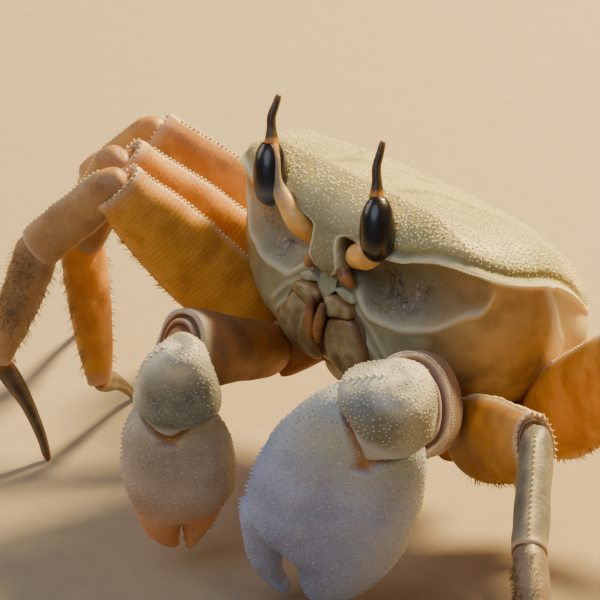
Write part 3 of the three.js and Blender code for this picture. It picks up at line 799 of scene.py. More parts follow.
def shell_paint(name, lighten=0.0):
    """Enamel of the carapace. lighten turns all of the back cream, for its granules."""
    finish = Finish(name, roughness=0.42, subsurface_weight=0.14, **SHELL_SCATTER)
    cloud = finish.noise(7.0, 4)
    fleck = finish.noise(0.9, 3, seed=4.0)
    smudge = finish.noise(3.0, 5)
    pebble = (1 - finish.step(finish.cells(0.44), 0.2, 0.46)) * finish.mask("pebbled")
    top = finish.mix(tint("bdb078"), tint("a39a64"), finish.step(cloud, 0.42, 0.68))
    top = finish.mix(top, CREAM, (pebble * 0.9 + lighten).clamped())
    side = finish.mix(tint("ae8e58"), tint("947542"), finish.step(smudge, 0.4, 0.7))
    colour = finish.mix(top, side, finish.mask("wall"))
    colour = finish.mix(colour, tint("d2c796"), finish.mask("pale"))
    front = finish.mix(tint("83866c"), tint("74735a"),
                       finish.step(finish.noise(2.2, 4), 0.35, 0.7))
    front = finish.mix(front, tint("a8a88c"), pebble * 0.6)
    colour = finish.mix(colour, front, finish.mask("front") * 0.88)
    # painted shade: the insides of the eye sockets are darkened, with flecks
    colour = finish.mix(colour, tint("80705a"), finish.mask("pit") * (0.35 + 0.5 * fleck))
    grit = finish.step(finish.noise(0.42, 2, seed=6.0), 0.47, 0.56) * finish.mask("sandy")
    grains = finish.mix(tint("43393a"), tint("b3a3a2"), finish.step(fleck, 0.42, 0.62))
    colour = finish.mix(colour, grains, grit)
    # painted shade: the furrows and the gutter behind the margin are darkened
    colour = finish.mix(colour, tint("7d7340"), finish.mask("furrow") * 0.6)
    colour = finish.mix(colour, EDGE_WHITE, finish.mask("rim") * 0.85)
    # painted shade: the sides of the front lobe are nearly black brown
    colour = finish.mix(colour, tint("3a2c1c"), finish.mask("dark") * 0.85)
    scuffs = finish.noise(0.3, 3, seed=9.0)
    return finish.feed(
        base_color=colour, roughness=0.36 + 0.22 * fleck,
        normal=finish.bump(pebble + 0.25 * scuffs + 2.2 * grit, 0.1, 0.9))


shell_finish = shell_paint("shell_enamel")
pearl_finish = shell_paint("shell_granules", lighten=0.8)

# %% Carapace and its granules
GRANULE_SPACING, GRANULE_RADIUS = 0.4, 0.128
MARGIN_BEAD_SPACING, MARGIN_BEAD_RADIUS = 0.31, 0.13
MARGIN_BEADS_END, MARGIN_BEADS_START = 2.0, 5.2    # y behind, and x beside the front lobe

carapace = keep(skin("carapace_skin", on_trunk(shell_rings), shell_masks), shell_finish,
                ["carapace"])
keep(scatter("carapace_granules", carapace, pearl_finish, GRANULE_SPACING, GRANULE_RADIUS, 3),
     None)

rim_row = shell_rings[DOME_ROWS - 1]
near = (rim_row[:, 1] < MARGIN_BEADS_END) & (abs(rim_row[:, 0]) > MARGIN_BEADS_START)
for side, sign in (("L", 1), ("R", -1)):
    stretch = rim_row[near & (rim_row[:, 0] * sign > 0)]
    stretch = stretch[np.argsort(np.arctan2(stretch[:, 1], sign * stretch[:, 0]))]
    length = way_along(stretch)[-1]
    beads = along_path(stretch[::6], int(length / MARGIN_BEAD_SPACING))
    size = MARGIN_BEAD_RADIUS + 0.03 * value_noise(beads, 0.8, 7.0)
    keep(studs("margin_beads_" + side, on_trunk(beads), np.tile((0, 0, 1), (len(beads), 1)),
               size, pearl_finish), None)
print("shell pieces and triangles:", made)

# %% [markdown]
# Under the trunk lie the breastplate and the narrow tail flap of a male, folded forward. Both
# are plates in a row, so their skins get a shallow groove at each joint line.

# %% Belly finish
def belly_paint():
    finish = Finish("belly_enamel", roughness=0.5, subsurface_weight=0.15, **SHELL_SCATTER)
    cloud = finish.noise(4.0, 5)
    colour = finish.mix(tint("bfae80"), tint("a07c48"), finish.step(cloud, 0.4, 0.75))
    colour = finish.mix(colour, tint("7a5f38"), finish.mask("groove") * 0.6)
    grit = finish.noise(0.3, 3, seed=2.0)
    return finish.feed(base_color=colour, roughness=0.42 + 0.2 * grit,
                       normal=finish.bump(grit, 0.06, 0.7))


belly_finish = belly_paint()

# %% Breastplate and tail flap
STERNUM = [(-17.2, 7.0, 10.0), (-17.6, 7.5, 10.5), (-19.4, 8.2, 11.0), (-21.0, 7.8, 10.2),
           (-21.8, 6.0, 8.2), (-22.0, 2.0, 3.0)]          # height, half width, half length
STERNUM_JOINTS = (-6.0, -2.4, 1.4, 5.2)                     # y of each
FLAP = [(14.4, -13.2, 5.2), (14.2, -15.0, 5.5), (13.6, -18.8, 5.8), (10.4, -22.2, 5.2),
        (5.0, -23.2, 4.2), (-1.0, -23.2, 3.2), (-5.6, -22.9, 2.0), (-8.0, -22.4, 1.1)]
FLAP_JOINTS, FLAP_HALF_THICKNESS = 6, 0.85
STERNUM_CORNER, FLAP_CORNER = 2.6, 2.8
STERNUM_GRID, FLAP_GRID = (60, 96), (130, 48)                # rows and columns


def sternum_skin(rows, columns):
    """Rings of the breastplate, grooved across at each joint."""
    table = np.array(STERNUM)
    z, wide, long = smooth(np.arange(len(table)), table,
                           np.linspace(0, len(table) - 1, rows)).T[:, :, None]
    turn = turns_round(columns)
    x = wide * squarish(np.cos(turn), STERNUM_CORNER)
    y = long * squarish(np.sin(turn), STERNUM_CORNER) - 0.4
    grooves = sum(hump(y, place, 0.35) for place in STERNUM_JOINTS) * ease(abs(x), 1.0, 3.0)
    rings = np.stack([x, y, z + 0.5 * grooves * ease(-z, 19.5, 20.5)], -1)
    return on_trunk(rings), {"groove": np.clip(grooves, 0, 1)}


def flap_skin(rows, columns):
    """Rings of the tail flap along its curve under the trunk."""
    table = np.array(FLAP)
    knots = np.arange(len(table))
    at = np.linspace(0, knots[-1], rows)
    y, z, half_width = smooth(knots, table, at).T
    run = unit(np.stack([0 * y, np.gradient(y), np.gradient(z)], 1))
    through = np.cross(run, (1, 0, 0))
    groove = sum(hump(at, 0.6 + 6.0 * (k + 1) / (FLAP_JOINTS + 1), 0.07)
                 for k in range(FLAP_JOINTS))
    turn = turns_round(columns)
    ends = np.sqrt(np.clip(1 - ((at / knots[-1] - 0.5) * 2) ** 14, 0.02, 1))
    half_thick = FLAP_HALF_THICKNESS * ends * (1 - 0.35 * groove)
    middle = np.stack([0 * y, y, z], 1)[:, None]
    across = (half_width * ends)[:, None] * squarish(np.cos(turn), FLAP_CORNER)
    proud = half_thick[:, None] * squarish(np.sin(turn), FLAP_CORNER)
    rings = middle + across[..., None] * (1.0, 0, 0) + proud[..., None] * through[:, None]
    return on_trunk(rings), {"groove": np.repeat(groove[:, None], columns, 1)}


keep(skin("sternum_skin", *sternum_skin(*STERNUM_GRID)), belly_finish, ["sternum"])
keep(skin("abdomen_skin", *flap_skin(*FLAP_GRID)), belly_finish, ["abdomen"])
print("belly:", made["sternum_skin"], "and", made["abdomen_skin"], "triangles")

# %% [markdown]
# The mouth is closed by a pair of jointed doors. Each door has a long lower plate with a
# furrow, a short upper plate, and an orange feeler folded down along the middle. Above them a
# T-shaped bar joins the doors' frame to the lobe, with the root of a small feeler on each side.
# Each plate is a pillow: an outline drawn on the face, filled by shrinking rings that swell
# towards the middle.

# %% Face finish
def face_paint(name, main, dark, edge):
    """Enamel in two clouded tints, with another along its edge."""
    finish = Finish(name, roughness=0.4, subsurface_weight=0.2, **SHELL_SCATTER)
    cloud = finish.noise(1.5, 5)
    colour = finish.mix(tint(main), tint(dark), finish.step(cloud, 0.35, 0.7))
    colour = finish.mix(colour, tint(edge), finish.mask("edge") * 0.7)
    grit = finish.noise(0.2, 3, seed=2.0)
    return finish.feed(base_color=colour, roughness=0.34 + 0.2 * grit,
                       normal=finish.bump(grit, 0.05, 0.7))


door_finish = face_paint("mouth_plates", "9a906a", "77673f", "8a5a2e")
feeler_finish = face_paint("mouth_feelers", "a87444", "86562c", "5e4028")
bar_finish = face_paint("mouth_frame", "8f9078", "747252", "a8a684")
# near black brown behind the mouth plates: painted shade in the gaps between them
mouth_shade_finish = face_paint("mouth_shade_lining", "4a3322", "332217", "6f5a48")

# %% Face plates
# outlines as width and height on the face, on the crab's left
LOWER_DOOR = [(1.25, -10.5), (2.6, -9.9), (4.2, -9.5), (5.3, -10.7), (6.5, -12.9),
              (6.6, -15.0), (5.4, -16.7), (3.2, -17.2), (1.4, -16.6), (0.9, -14.4)]
UPPER_DOOR = [(0.45, -8.1), (1.3, -7.75), (2.8, -7.8), (4.3, -8.35), (4.4, -9.2),
              (2.6, -9.75), (1.15, -10.1), (0.6, -9.2)]
BAR = [(0.0, -5.6), (1.0, -5.7), (1.0, -6.9), (2.9, -6.7), (4.2, -7.6), (3.6, -7.9),
       (1.9, -7.3), (0.7, -7.7), (0.0, -8.9)]
FEELER = [(0.8, -8.7), (0.85, -9.7), (0.7, -11.1), (0.55, -12.4), (0.6, -13.3)]
SMALL_FEELER = [(1.5, -15.2, -4.0), (1.9, -16.0, -4.6), (2.9, -16.2, -5.5), (3.5, -15.8, -6.1)]
HALF_CORE = [(4.4, -8.6), (6.0, -11.0), (6.2, -15.0), (4.4, -16.6)]
LOWER_DOOR_FURROW = [(2.6, -11.2), (3.0, -13.5), (3.6, -15.6)]
PILLOW_DEPTH, PILLOW_ROWS, PILLOW_COLUMNS = 1.4, 26, 72


def pillow(outline_points, stand, swell, furrow=None):
    """A swollen plate on the face wall. stand is its rim's height over the wall."""
    loop = np.array(outline_points + outline_points[:2], float)
    knots = way_along(loop)
    at = np.linspace(knots[0], knots[-2], PILLOW_COLUMNS, endpoint=False)
    rim = smooth(knots, loop, at, free=True)
    middle = rim.mean(0)
    top = np.linspace(0.02, 1, PILLOW_ROWS)
    share = np.r_[top, 1.0, 0.9]
    height = np.r_[stand + swell * (1 - top**3.2) ** 0.5,
                   stand - 0.5 * PILLOW_DEPTH, stand - PILLOW_DEPTH]
    flat = middle + share[:, None, None] * (rim - middle)
    lift = np.repeat(height[:, None], PILLOW_COLUMNS, 1)
    near_rim = np.r_[np.linspace(0, 1, PILLOW_ROWS) ** 5, 1, 1]
    edge = np.repeat(near_rim[:, None], PILLOW_COLUMNS, 1)
    if furrow is not None:
        path = np.array([(*p, 0) for p in furrow], float)
        near = distance_to(np.concatenate([flat, 0 * flat[..., :1]], -1), path)
        lift = lift - 0.3 * hump(near, 0, 0.4)
        edge = np.maximum(edge, 0.6 * hump(near, 0.75, 0.3))
    x, z = flat[..., 0], flat[..., 1]
    lean = 0.45 * ease(-z, 13.0, 18.0)
    y = wall_front(np.minimum(abs(x), 18.0), np.clip(z, -19, 0.5)) - lift
    return np.stack([x, y, z - lean * lift], -1), edge


def mirrored_pieces(name, rings_and_edge, finish):
    """The same face plate on the left and on the right."""
    rings, edge = rings_and_edge
    for side, sign in (("L", 1), ("R", -1)):
        piece = skin(name + side, on_trunk(rings * (sign, 1, 1)), {"edge": edge})
        keep(piece, finish)


def tube(points, radii, rows, columns, up):
    """Rings round a smooth curve, whose seams face away from up."""
    points = np.asarray(points, float)
    knots = way_along(points)
    at = np.linspace(0, knots[-1], rows)
    line = smooth(knots, points, at, free=True)
    radius = smooth(knots, radii, at)
    run = unit(np.gradient(line, axis=0))
    across = unit(np.cross(run, up))
    through = np.cross(across, run)
    turn = turns_round(columns)[None, :, None]
    return line[:, None] + radius[:, None, None] * (
        across[:, None] * np.cos(turn) + through[:, None] * np.sin(turn))


def feeler(path, radii, rows, columns, joint, joint_width):
    """A tube on the face with one darker joint, at a share of its length."""
    along = np.repeat(np.linspace(0, 1, rows)[:, None], columns, 1)
    return tube(path, radii, rows, columns, up=(0, 1, 0)), hump(along, joint, joint_width)


mirrored_pieces("door_lower_", pillow(LOWER_DOOR, 0.7, 0.75, LOWER_DOOR_FURROW),
                door_finish)
mirrored_pieces("door_upper_", pillow(UPPER_DOOR, 0.85, 0.55), door_finish)
mirrored_pieces("face_bar_", pillow(BAR, 0.35, 0.3), bar_finish)

feeler_path = [(x, wall_front(x, z) - 1.35 - 0.4 * hump(z, -11, 2.4), z) for x, z in FEELER]
mirrored_pieces("mouth_feeler_", feeler(feeler_path, [0.3, 0.52, 0.56, 0.48, 0.3], 70, 24,
                                        0.1, 0.2), feeler_finish)
mirrored_pieces("small_feeler_", feeler(SMALL_FEELER, [0.3, 0.8, 0.72, 0.3], 50, 26, 0.5, 0.08),
                feeler_finish)
other_half = [(-x, z) for x, z in HALF_CORE[::-1]]
# the floor behind the mouth plates is painted dark, as the shade seen in the gaps between them
core, core_edge = pillow([(0.0, -8.2)] + HALF_CORE + [(0.0, -16.9)] + other_half, 0.1, 0.35)
keep(skin("mouth_floor", on_trunk(core), {"edge": core_edge}), mouth_shade_finish,
     ["mouthparts"])
print("face plates:", [name for name in made if "door" in name or "bar" in name])

# %% [markdown]
# The eyes are the crab's best feature. A peach stalk comes out of the socket's inner end, swells
# into a bulb, and runs up the inner side of a long black cornea. An orange collar and a thin,
# bent horn top it. The cornea is the only really glossy part, so it alone has a clear coat.

# %% Eye finishes
def stalk_paint():
    """Peach skin, grey where it runs up the cornea, orange at its collar."""
    finish = Finish("eyestalk_skin", roughness=0.3, subsurface_weight=0.4,
                    subsurface_radius=(0.004, 0.0022, 0.0008), subsurface_scale=0.5)
    cloud = finish.noise(1.4, 4)
    colour = finish.mix(tint("e6b566"), tint("cf9648"), finish.step(cloud, 0.4, 0.7))
    colour = finish.mix(colour, tint("c4762a"), finish.mask("root") * 0.7)
    colour = finish.mix(colour, tint("7f7a70"), finish.mask("strip") * 0.85)
    colour = finish.mix(colour, tint("b5701f"), finish.mask("collar"))
    return finish.feed(base_color=colour, roughness=0.26 + 0.15 * cloud,
                       normal=finish.bump(finish.noise(0.25, 3), 0.03, 0.6))


def cornea_paint():
    """Black glass with tiny facets, and bluish where its foot is cloudy."""
    finish = Finish("cornea_glass", roughness=0.3, coat_weight=0.3, coat_roughness=0.12)
    cloud = finish.noise(1.6, 3)
    colour = finish.mix(tint("100b08"), tint("20140c"), cloud)
    colour = finish.mix(colour, tint("414b5c"), finish.mask("low"))
    facets = finish.step(finish.cells(0.05), 0.1, 0.6)
    return finish.feed(base_color=colour, roughness=0.3 + 0.15 * finish.mask("low"),
                       normal=finish.bump(1 - facets, 0.004, 0.4))


def horn_paint():
    """Dark horn between an orange collar and a brown tip, lightened by a painted glint."""
    finish = Finish("eye_horn", roughness=0.35)
    cloud = finish.noise(0.7, 4, stretch=(1, 1, 0.3))
    colour = finish.mix(tint("4d3a1c"), tint("2f2212"), finish.step(cloud, 0.4, 0.7))
    # the tip: its own brown, painted lighter as a glint
    colour = finish.mix(colour, tint("8a5c28"), finish.mask("tip") * 0.7)
    colour = finish.mix(colour, tint("b5701f"), finish.mask("collar"))
    return finish.feed(base_color=colour, roughness=0.3 + 0.2 * cloud,
                       normal=finish.bump(cloud, 0.05, 0.8))


stalk_finish, cornea_finish, horn_finish = stalk_paint(), cornea_paint(), horn_paint()

# %% Eyes
# stalk as x, y, z and radius; cornea foot and top; horn bend and tip; the way to the middle;
# and how cloudy the foot of the cornea is
EYES = {
    "L": {"stalk": [(2.9, -14.2, -3.3, 0.2), (3.0, -14.9, -3.2, 1.0), (4.2, -16.4, -2.0, 1.3),
                    (6.3, -17.2, -0.9, 1.5), (6.9, -17.2, 0.6, 1.05)],
          "foot": (8.0, -17.9, -0.6), "top": (6.0, -16.5, 5.6), "bend": (4.9, -15.9, 8.2),
          "tip": (4.4, -14.8, 10.8), "inward": (-1, 0.3, 0), "cloudy": 0.0},
    "R": {"stalk": [(-2.9, -14.2, -3.3, 0.2), (-3.0, -14.9, -3.2, 0.9), (-3.65, -16.0, -2.35, 1.2),
                    (-4.4, -16.9, -1.35, 1.35), (-5.9, -17.3, 0.05, 1.08),
                    (-7.1, -17.5, 1.35, 0.82)],
          "foot": (-7.9, -17.8, -0.6), "top": (-10.2, -16.4, 5.6), "bend": (-11.1, -15.8, 8.0),
          "tip": (-11.4, -14.7, 10.2), "inward": (1, -0.3, 0), "cloudy": 0.9},
}
CORNEA_RADIUS, HORN_RADIUS, HORN_TIP = 1.85, 0.66, 0.3
STALK_GRID, CORNEA_GRID, HORN_GRID = (110, 40), (90, 56), (80, 24)      # rows and columns
# share of the cornea's length, way towards the middle, radius: the stalk beside the cornea
STRIP = [(0.5, 1.52, 0.44), (0.82, 1.28, 0.36), (0.97, 0.4, 0.6), (1.0, 0.15, 0.66),
         (1.01, 0.1, 0.3)]
CORNEA_ROWS = [(-0.03, 0.03), (-0.015, 0.24), (0.03, 0.5), (0.11, 0.76), (0.27, 0.95),
               (0.5, 1.0), (0.75, 0.9), (0.92, 0.62), (0.99, 0.36), (1.02, 0.05)]
EYE_UP = (0, 1, 0.1)


def ramp_mask(rings, values):
    """A mask that changes only along the rings, from values at even steps."""
    knots = np.linspace(0, 1, len(values))
    along = smooth(knots, values, np.linspace(0, 1, rings.shape[0]))
    return np.repeat(along[:, None], rings.shape[1], 1)


for side, eye in EYES.items():
    foot, top, bend, tip = (on_trunk(eye[key]) for key in ("foot", "top", "bend", "tip"))
    inward = unit(eye["inward"])

    def spine(share, offset):
        return foot + (top - foot) * share + inward * offset

    lower = np.array(eye["stalk"])
    path = list(on_trunk(lower[:, :3])) + [spine(share, offset) for share, offset, _ in STRIP]
    stalk = tube(path, np.r_[lower[:, 3], [radius for _, _, radius in STRIP]], *STALK_GRID,
                 up=EYE_UP)
    keep(skin("eyestalk_skin_" + side, stalk,
              {"collar": ramp_mask(stalk, [0, 0, 0, 0, 0, 0, 0, 0, 0.3, 1]),
               "root": ramp_mask(stalk, [1, 0.8, 0.2, 0, 0, 0, 0, 0, 0, 0]),
               "strip": ramp_mask(stalk, [0, 0, 0, 0, 0.1, 0.7, 1, 1, 0.5, 0])}),
         stalk_finish, ["eyestalk_" + side])
    shares, sizes = np.array(CORNEA_ROWS).T
    cornea = tube([spine(share, -0.25) for share in shares], sizes * CORNEA_RADIUS,
                  *CORNEA_GRID, up=EYE_UP)
    cloudy = ramp_mask(cornea, [1, 1, 0.6, 0.1, 0, 0, 0, 0, 0]) * eye["cloudy"]
    keep(skin("cornea_skin_" + side, cornea, {"low": cloudy}), cornea_finish,
         ["cornea_" + side])
    horn = tube([spine(0.97, 0.1), spine(1.05, 0.08), bend + (top - bend) * 0.5, bend,
                 bend + (tip - bend) * 0.55, tip - (tip - bend) * 0.04, tip],
                [HORN_RADIUS * 1.3, HORN_RADIUS * 1.1, HORN_RADIUS * 0.82, HORN_RADIUS * 0.74,
                 HORN_RADIUS * 0.62, HORN_TIP, HORN_TIP * 0.3], *HORN_GRID, up=EYE_UP)
    keep(skin("horn_skin_" + side, horn,
              {"tip": ramp_mask(horn, [0, 0, 0, 0, 0.1, 1]),
               "collar": ramp_mask(horn, [1, 0.9, 0] + [0] * 12)}),
         horn_finish, ["horn_" + side])
print("eyes done:", [name for name in made if "cornea" in name])

# %% [markdown]
# A claw is a flattened box with a fixed finger, a movable finger and a wrist plate over its
# root. Each is drawn by its two edges along the reach of the hand. The joint is a real dent:
# where the palm comes near the wrist plate it sinks, and the sunken band takes the ochre of the
# soft skin between plates. Beads cover the outside and teeth stand along the edges.

# %% Claw finishes
def claw_paint(name, main, dark, flush=None, tip=None):
    """Enamel of a hand. flush and tip are its tints along the outer edge and at the end."""
    finish = Finish(name, roughness=0.45, subsurface_weight=0.12, **SHELL_SCATTER)
    cloud = finish.noise(5.0, 4)
    colour = finish.mix(tint(main), tint(dark), finish.step(cloud, 0.38, 0.66))
    colour = finish.mix(colour, tint("a0a793"), finish.mask("wrist") * 0.7)
    colour = finish.mix(colour, tint(flush or main), finish.mask("flush") * 0.8)
    colour = finish.mix(colour, tint(tip or main), finish.mask("tip") * 0.9)
    # the palm's upper edge: partly its own pale colour, partly a painted highlight
    colour = finish.mix(colour, tint("e9e4d2"), finish.mask("rim") * 0.8)
    colour = finish.mix(colour, tint("96601c"), finish.mask("skin"))
    blots = finish.step(finish.noise(1.1, 4, seed=7.0), 0.63, 0.74)
    colour = finish.mix(colour, tint("8c6f52"), blots * 0.25)
    dots = 1 - finish.step(finish.cells(0.5), 0.12, 0.38)
    colour = finish.mix(colour, tint("dcdde4"), dots * (1 - finish.mask("tip")) * 0.3)
    grit = finish.noise(0.22, 3, seed=2.0)
    return finish.feed(base_color=colour, roughness=0.4 + 0.2 * grit,
                       normal=finish.bump(grit + 0.8 * dots, 0.08, 0.8))


# the left claw's pale tints carry a blue cast that is painted cool skylight, as the claw stands in
# shade
CLAW_TINTS = {
    "L": ("9aa7ce", "8a96c0", "c2c8de", "b6bad2"),
    # the right claw's orange tip is its own colour, painted brighter as light glowing through the
    # thin fingers
    "R": ("b0a59d", "9b918a", "b89a80", "eaa464"),
}
# the left beads' blue cast is painted cool skylight as well
BEAD_TINTS = {
    "L": ("a9b2d2", "9aa3c6", "c0c3d6", "b4b6cc"),
    # the right beads' tip tint is painted brighter in the same way
    "R": ("baaea4", "aa9f96", "c2a88e", "eaaa6c"),
    "wrist_L": ("d0cbb8", "bdbaae"), "wrist_R": ("a2a49b", "92948f"),
    "tooth": ("e2d8ba", "cfc4a4"),
}
claw_finish = {side: claw_paint("claw_enamel_" + side, *tints)
               for side, tints in CLAW_TINTS.items()}
bead_finish = {side: claw_paint("claw_beads_" + side, *tints)
               for side, tints in BEAD_TINTS.items()}


def cuff_paint():
    """Enamel of the wrist plates: grey-green with cream dots, and a bluish lower border."""
    finish = Finish("wrist_enamel", roughness=0.45, subsurface_weight=0.12, **SHELL_SCATTER)
    cloud = finish.noise(2.6, 5)
    colour = finish.mix(tint("6e7572"), tint("5a6261"), finish.step(cloud, 0.4, 0.68))
    dots = 1 - finish.step(finish.cells(0.5), 0.14, 0.4)
    streak = dots * (0.4 + 0.6 * finish.mask("streaks"))
    colour = finish.mix(colour, tint("cdc3a4"), finish.mask("streaks") * 0.45)
    colour = finish.mix(colour, tint("cfc8ac"), streak * 0.5)
    colour = finish.mix(colour, tint("aeb5cb"), finish.mask("border") * 0.9)
    colour = finish.mix(colour, tint("ece3c8"), finish.mask("rim") * 0.8)
    grit = finish.noise(0.2, 3, seed=2.0)
    return finish.feed(base_color=colour, roughness=0.4 + 0.2 * grit,
                       normal=finish.bump(0.5 * grit + streak, 0.09, 0.8))


def arm_paint():
    """Brown-orange enamel, dustier towards the pale, beaded lip round the elbow."""
    finish = Finish("arm_enamel", roughness=0.42, subsurface_weight=0.2, **SHELL_SCATTER)
    cloud = finish.noise(3.2, 5)
    colour = finish.mix(tint("a0662a"), tint("7c4a1c"), finish.step(cloud, 0.4, 0.7))
    colour = finish.mix(colour, tint("b8a292"), finish.mask("dusty"))
    colour = finish.mix(colour, tint("9c5e26"), finish.mask("root") * 0.8)
    # the elbow cup's hollow: its purplish joint skin, deepened as painted shade
    colour = finish.mix(colour, tint("7c5a62"), finish.mask("recess") * 0.7)
    colour = finish.mix(colour, tint("d2c2a8"), finish.mask("rim") * 0.85)
    grit = finish.noise(0.3, 3, seed=2.0)
    return finish.feed(base_color=colour, roughness=0.4 + 0.18 * grit,
                       normal=finish.bump(grit, 0.08, 0.8))


cuff_finish, arm_finish = cuff_paint(), arm_paint()

# %% Sizes of the claws
# root, shoulder and elbow place the arm, deep, thick and rim are its half sizes, and sway
# shifts its cup. wrist, and reach and face as azimuth and elevation, place the hand. An
# outline's rows are: way along the reach, low edge and high edge across it
CLAWS = {
    "L": {
        "root": (6.4, -10.2, -17.4), "shoulder": (9.2, -12.6, -18.6),
        "elbow": (20.3, -19.8, -11.4), "deep": 3.6, "thick": 3.0, "rim": 5.6, "sway": 2.4,
        "wrist": (19.75, -30.12, 27.5), "reach": (-105.9, -62.5), "face": (29.6, -20.4),
        "cuff": [(-9.2, 0.6, 2.8), (-8.5, -0.9, 4.0), (-7.2, -2.7, 5.0), (-5.3, -4.4, 5.7),
                 (-3.8, -3.4, 6.1), (-2.3, -2.4, 5.7), (-0.4, -1.4, 3.9), (1.8, -0.2, 1.1)],
        "cuff_thick": 4.6,
        "hand": [(-3.4, -4.6, 1.0), (-1.2, -6.2, 4.0), (1.6, -7.8, 6.0), (5.0, -9.0, 6.8),
                 (9.5, -9.8, 7.1), (14.0, -10.0, 7.1), (17.0, -9.6, 7.0), (19.4, -7.2, 6.6),
                 (21.4, -4.4, 6.1), (23.3, -2.7, 5.5), (25.4, -2.3, 4.6), (27.6, -1.3, 3.4),
                 (29.4, 0.2, 1.6)],
        "hand_thick": 5.0,
        "finger": [(15.8, -9.4, -5.4), (18.2, -10.2, -5.0), (21.6, -9.4, -4.6),
                   (24.8, -8.3, -4.4), (27.4, -6.8, -3.9), (29.2, -4.8, -2.6),
                   (30.0, -3.3, -2.3)],
        "finger_thick": 2.9,
    },
    "R": {
        "root": (-6.4, -10.2, -17.4), "shoulder": (-8.2, -12.8, -19.0),
        "elbow": (-6.7, -29.2, -14.2), "deep": 3.4, "thick": 2.9, "rim": 4.2, "sway": 0.8,
        "wrist": (-4.24, -34.89, 23.3), "reach": (-131.4, -72.6), "face": (43.4, -17.4),
        "cuff": [(-8.9, 0.0, 1.3), (-7.9, -1.9, 2.8), (-5.8, -3.4, 3.7), (-3.0, -4.1, 4.5),
                 (-1.0, -4.6, 4.7), (-0.1, -4.0, 3.4), (0.7, -3.2, 1.4), (1.6, -2.4, 0.5),
                 (2.4, -1.6, -0.1)],
        "cuff_thick": 3.7,
        "hand": [(-0.8, -3.0, 2.0), (0.6, -4.2, 3.6), (2.6, -5.4, 4.6), (5.4, -6.1, 5.3),
                 (9.0, -6.2, 5.6), (12.2, -5.6, 5.2), (14.0, -5.1, 3.4), (15.4, -4.7, 0.4),
                 (17.6, -4.0, -0.5), (19.6, -2.8, -0.6), (21.3, -1.0, -0.5)],
        "hand_thick": 3.9,
        "finger": [(12.0, 0.6, 4.8), (14.0, 0.0, 4.6), (16.2, -0.1, 3.8), (18.6, 0.1, 2.7),
                   (20.4, 0.3, 1.6), (21.4, 0.4, 0.9)],
        "finger_thick": 2.1,
    },
}
CUFF_PROUD, ROUND_CORNER, HAND_CORNER = 0.4, 2.2, 2.35
# share of the way to the shoulder, half depth, half thickness
ARM_ROOT = [(-0.2, 2.4, 2.2), (0.4, 2.8, 2.6), (1.05, 2.9, 2.6), (1.5, 2.5, 2.1)]


def swell(at):
    """Thickness of a palm along its length, as a share: thin, thick, thin."""
    return np.maximum(0.16, np.sin(np.pi * (0.12 + 0.86 * at)).clip(0) ** 0.75)


def fade(at):
    """Thickness of a finger, thinner towards its tip."""
    return 1 - 0.78 * at**1.3


def bulge(at):
    """Thickness of a wrist plate, blunt at both ends."""
    return np.maximum(0.3, np.sin(np.pi * (0.1 + 0.8 * at)).clip(0) ** 0.6)


class Hand:
    """The place of a hand: its wrist and its three directions."""

    def __init__(self, claw):
        self.wrist = np.array(claw["wrist"])
        self.reach = heading(*claw["reach"])
        face = heading(*claw["face"])
        self.face = unit(face - self.reach * (face @ self.reach))
        self.across = np.cross(self.face, self.reach)

    def place(self, along, across, proud):
        """Points of the crab at places on the hand."""
        return (self.wrist + np.multiply.outer(along, self.reach)
                + np.multiply.outer(across, self.across) + np.multiply.outer(proud, self.face))


def flat_body(rows, thick, taper, count, columns, corner=ROUND_CORNER, proud=0.0):
    """Local points (along, across, proud) of a flattened body, with rounded ends."""
    table = np.array(rows)
    places = np.linspace(0, 1, len(table))
    knots = way_along(table)
    at = np.linspace(0, knots[-1], count)
    along, low, high = smooth(knots, table, at).T
    place = smooth(knots, places, at)
    half = (high - low) / 2
    depth = thick * taper(place)
    ends = np.minimum(at, knots[-1] - at) / np.maximum(0.2, np.minimum(half, depth)) + 0.02
    ends = np.sqrt(1 - (1 - np.minimum(1, ends)) ** 2)
    turn = turns_round(columns)
    x = ((low + high) / 2)[:, None] + (half * ends)[:, None] * squarish(np.cos(turn), corner)
    y = proud + (depth * ends)[:, None] * squarish(np.sin(turn), corner)
    z = np.repeat(along[:, None], columns, 1)
    return np.stack([z, x, y], -1), np.repeat(place[:, None], columns, 1), turn


def nearness(local, rows, thick, taper, proud):
    """Rough distance from points of the hand to the surface of a flattened body."""
    table = np.array(rows)
    places = np.linspace(0, 1, len(table))
    along = local[..., 0]
    low, high, place = (smooth(table[:, 0], column, along) for column in
                        (table[:, 1], table[:, 2], places))
    half, depth = (high - low) / 2, thick * taper(place)
    radial = (np.abs((local[..., 1] - (low + high) / 2) / half) ** ROUND_CORNER
              + np.abs((local[..., 2] - proud) / depth) ** ROUND_CORNER) ** (1 / ROUND_CORNER)
    gap = (radial - 1) * np.minimum(half, depth)
    return np.maximum(gap, np.maximum(table[0, 0] - along, along - table[-1, 0]))


print("claws:", ", ".join(CLAWS))

# %% Palms, fingers and wrist plates
PALM_BEADS = {"L": (0.52, 0.125), "R": (0.46, 0.11)}         # spacing, radius
FINGER_BEADS, WRIST_BEADS = (0.55, 0.13), (0.42, 0.1)
PALM_TOOTH, FINGER_TOOTH, WRIST_TOOTH = {"L": 0.27, "R": 0.22}, 0.22, 0.34
PALM_TOOTH_SPACING, FINGER_TOOTH_SPACING, WRIST_TOOTH_SPACING = 0.72, 0.62, 0.85
PALM_GRID, FINGER_GRID, WRIST_GRID = (190, 112), (120, 56), (130, 96)   # rows and columns
PALM_TEETH = {"L": slice(70, 112), "R": slice(10, 110)}      # the rows that carry teeth
FINGER_TEETH, WRIST_TEETH = slice(4, 80), slice(10, 66)
RIPPLE_LENGTH = 1.3                                          # of the fingers' cutting edges


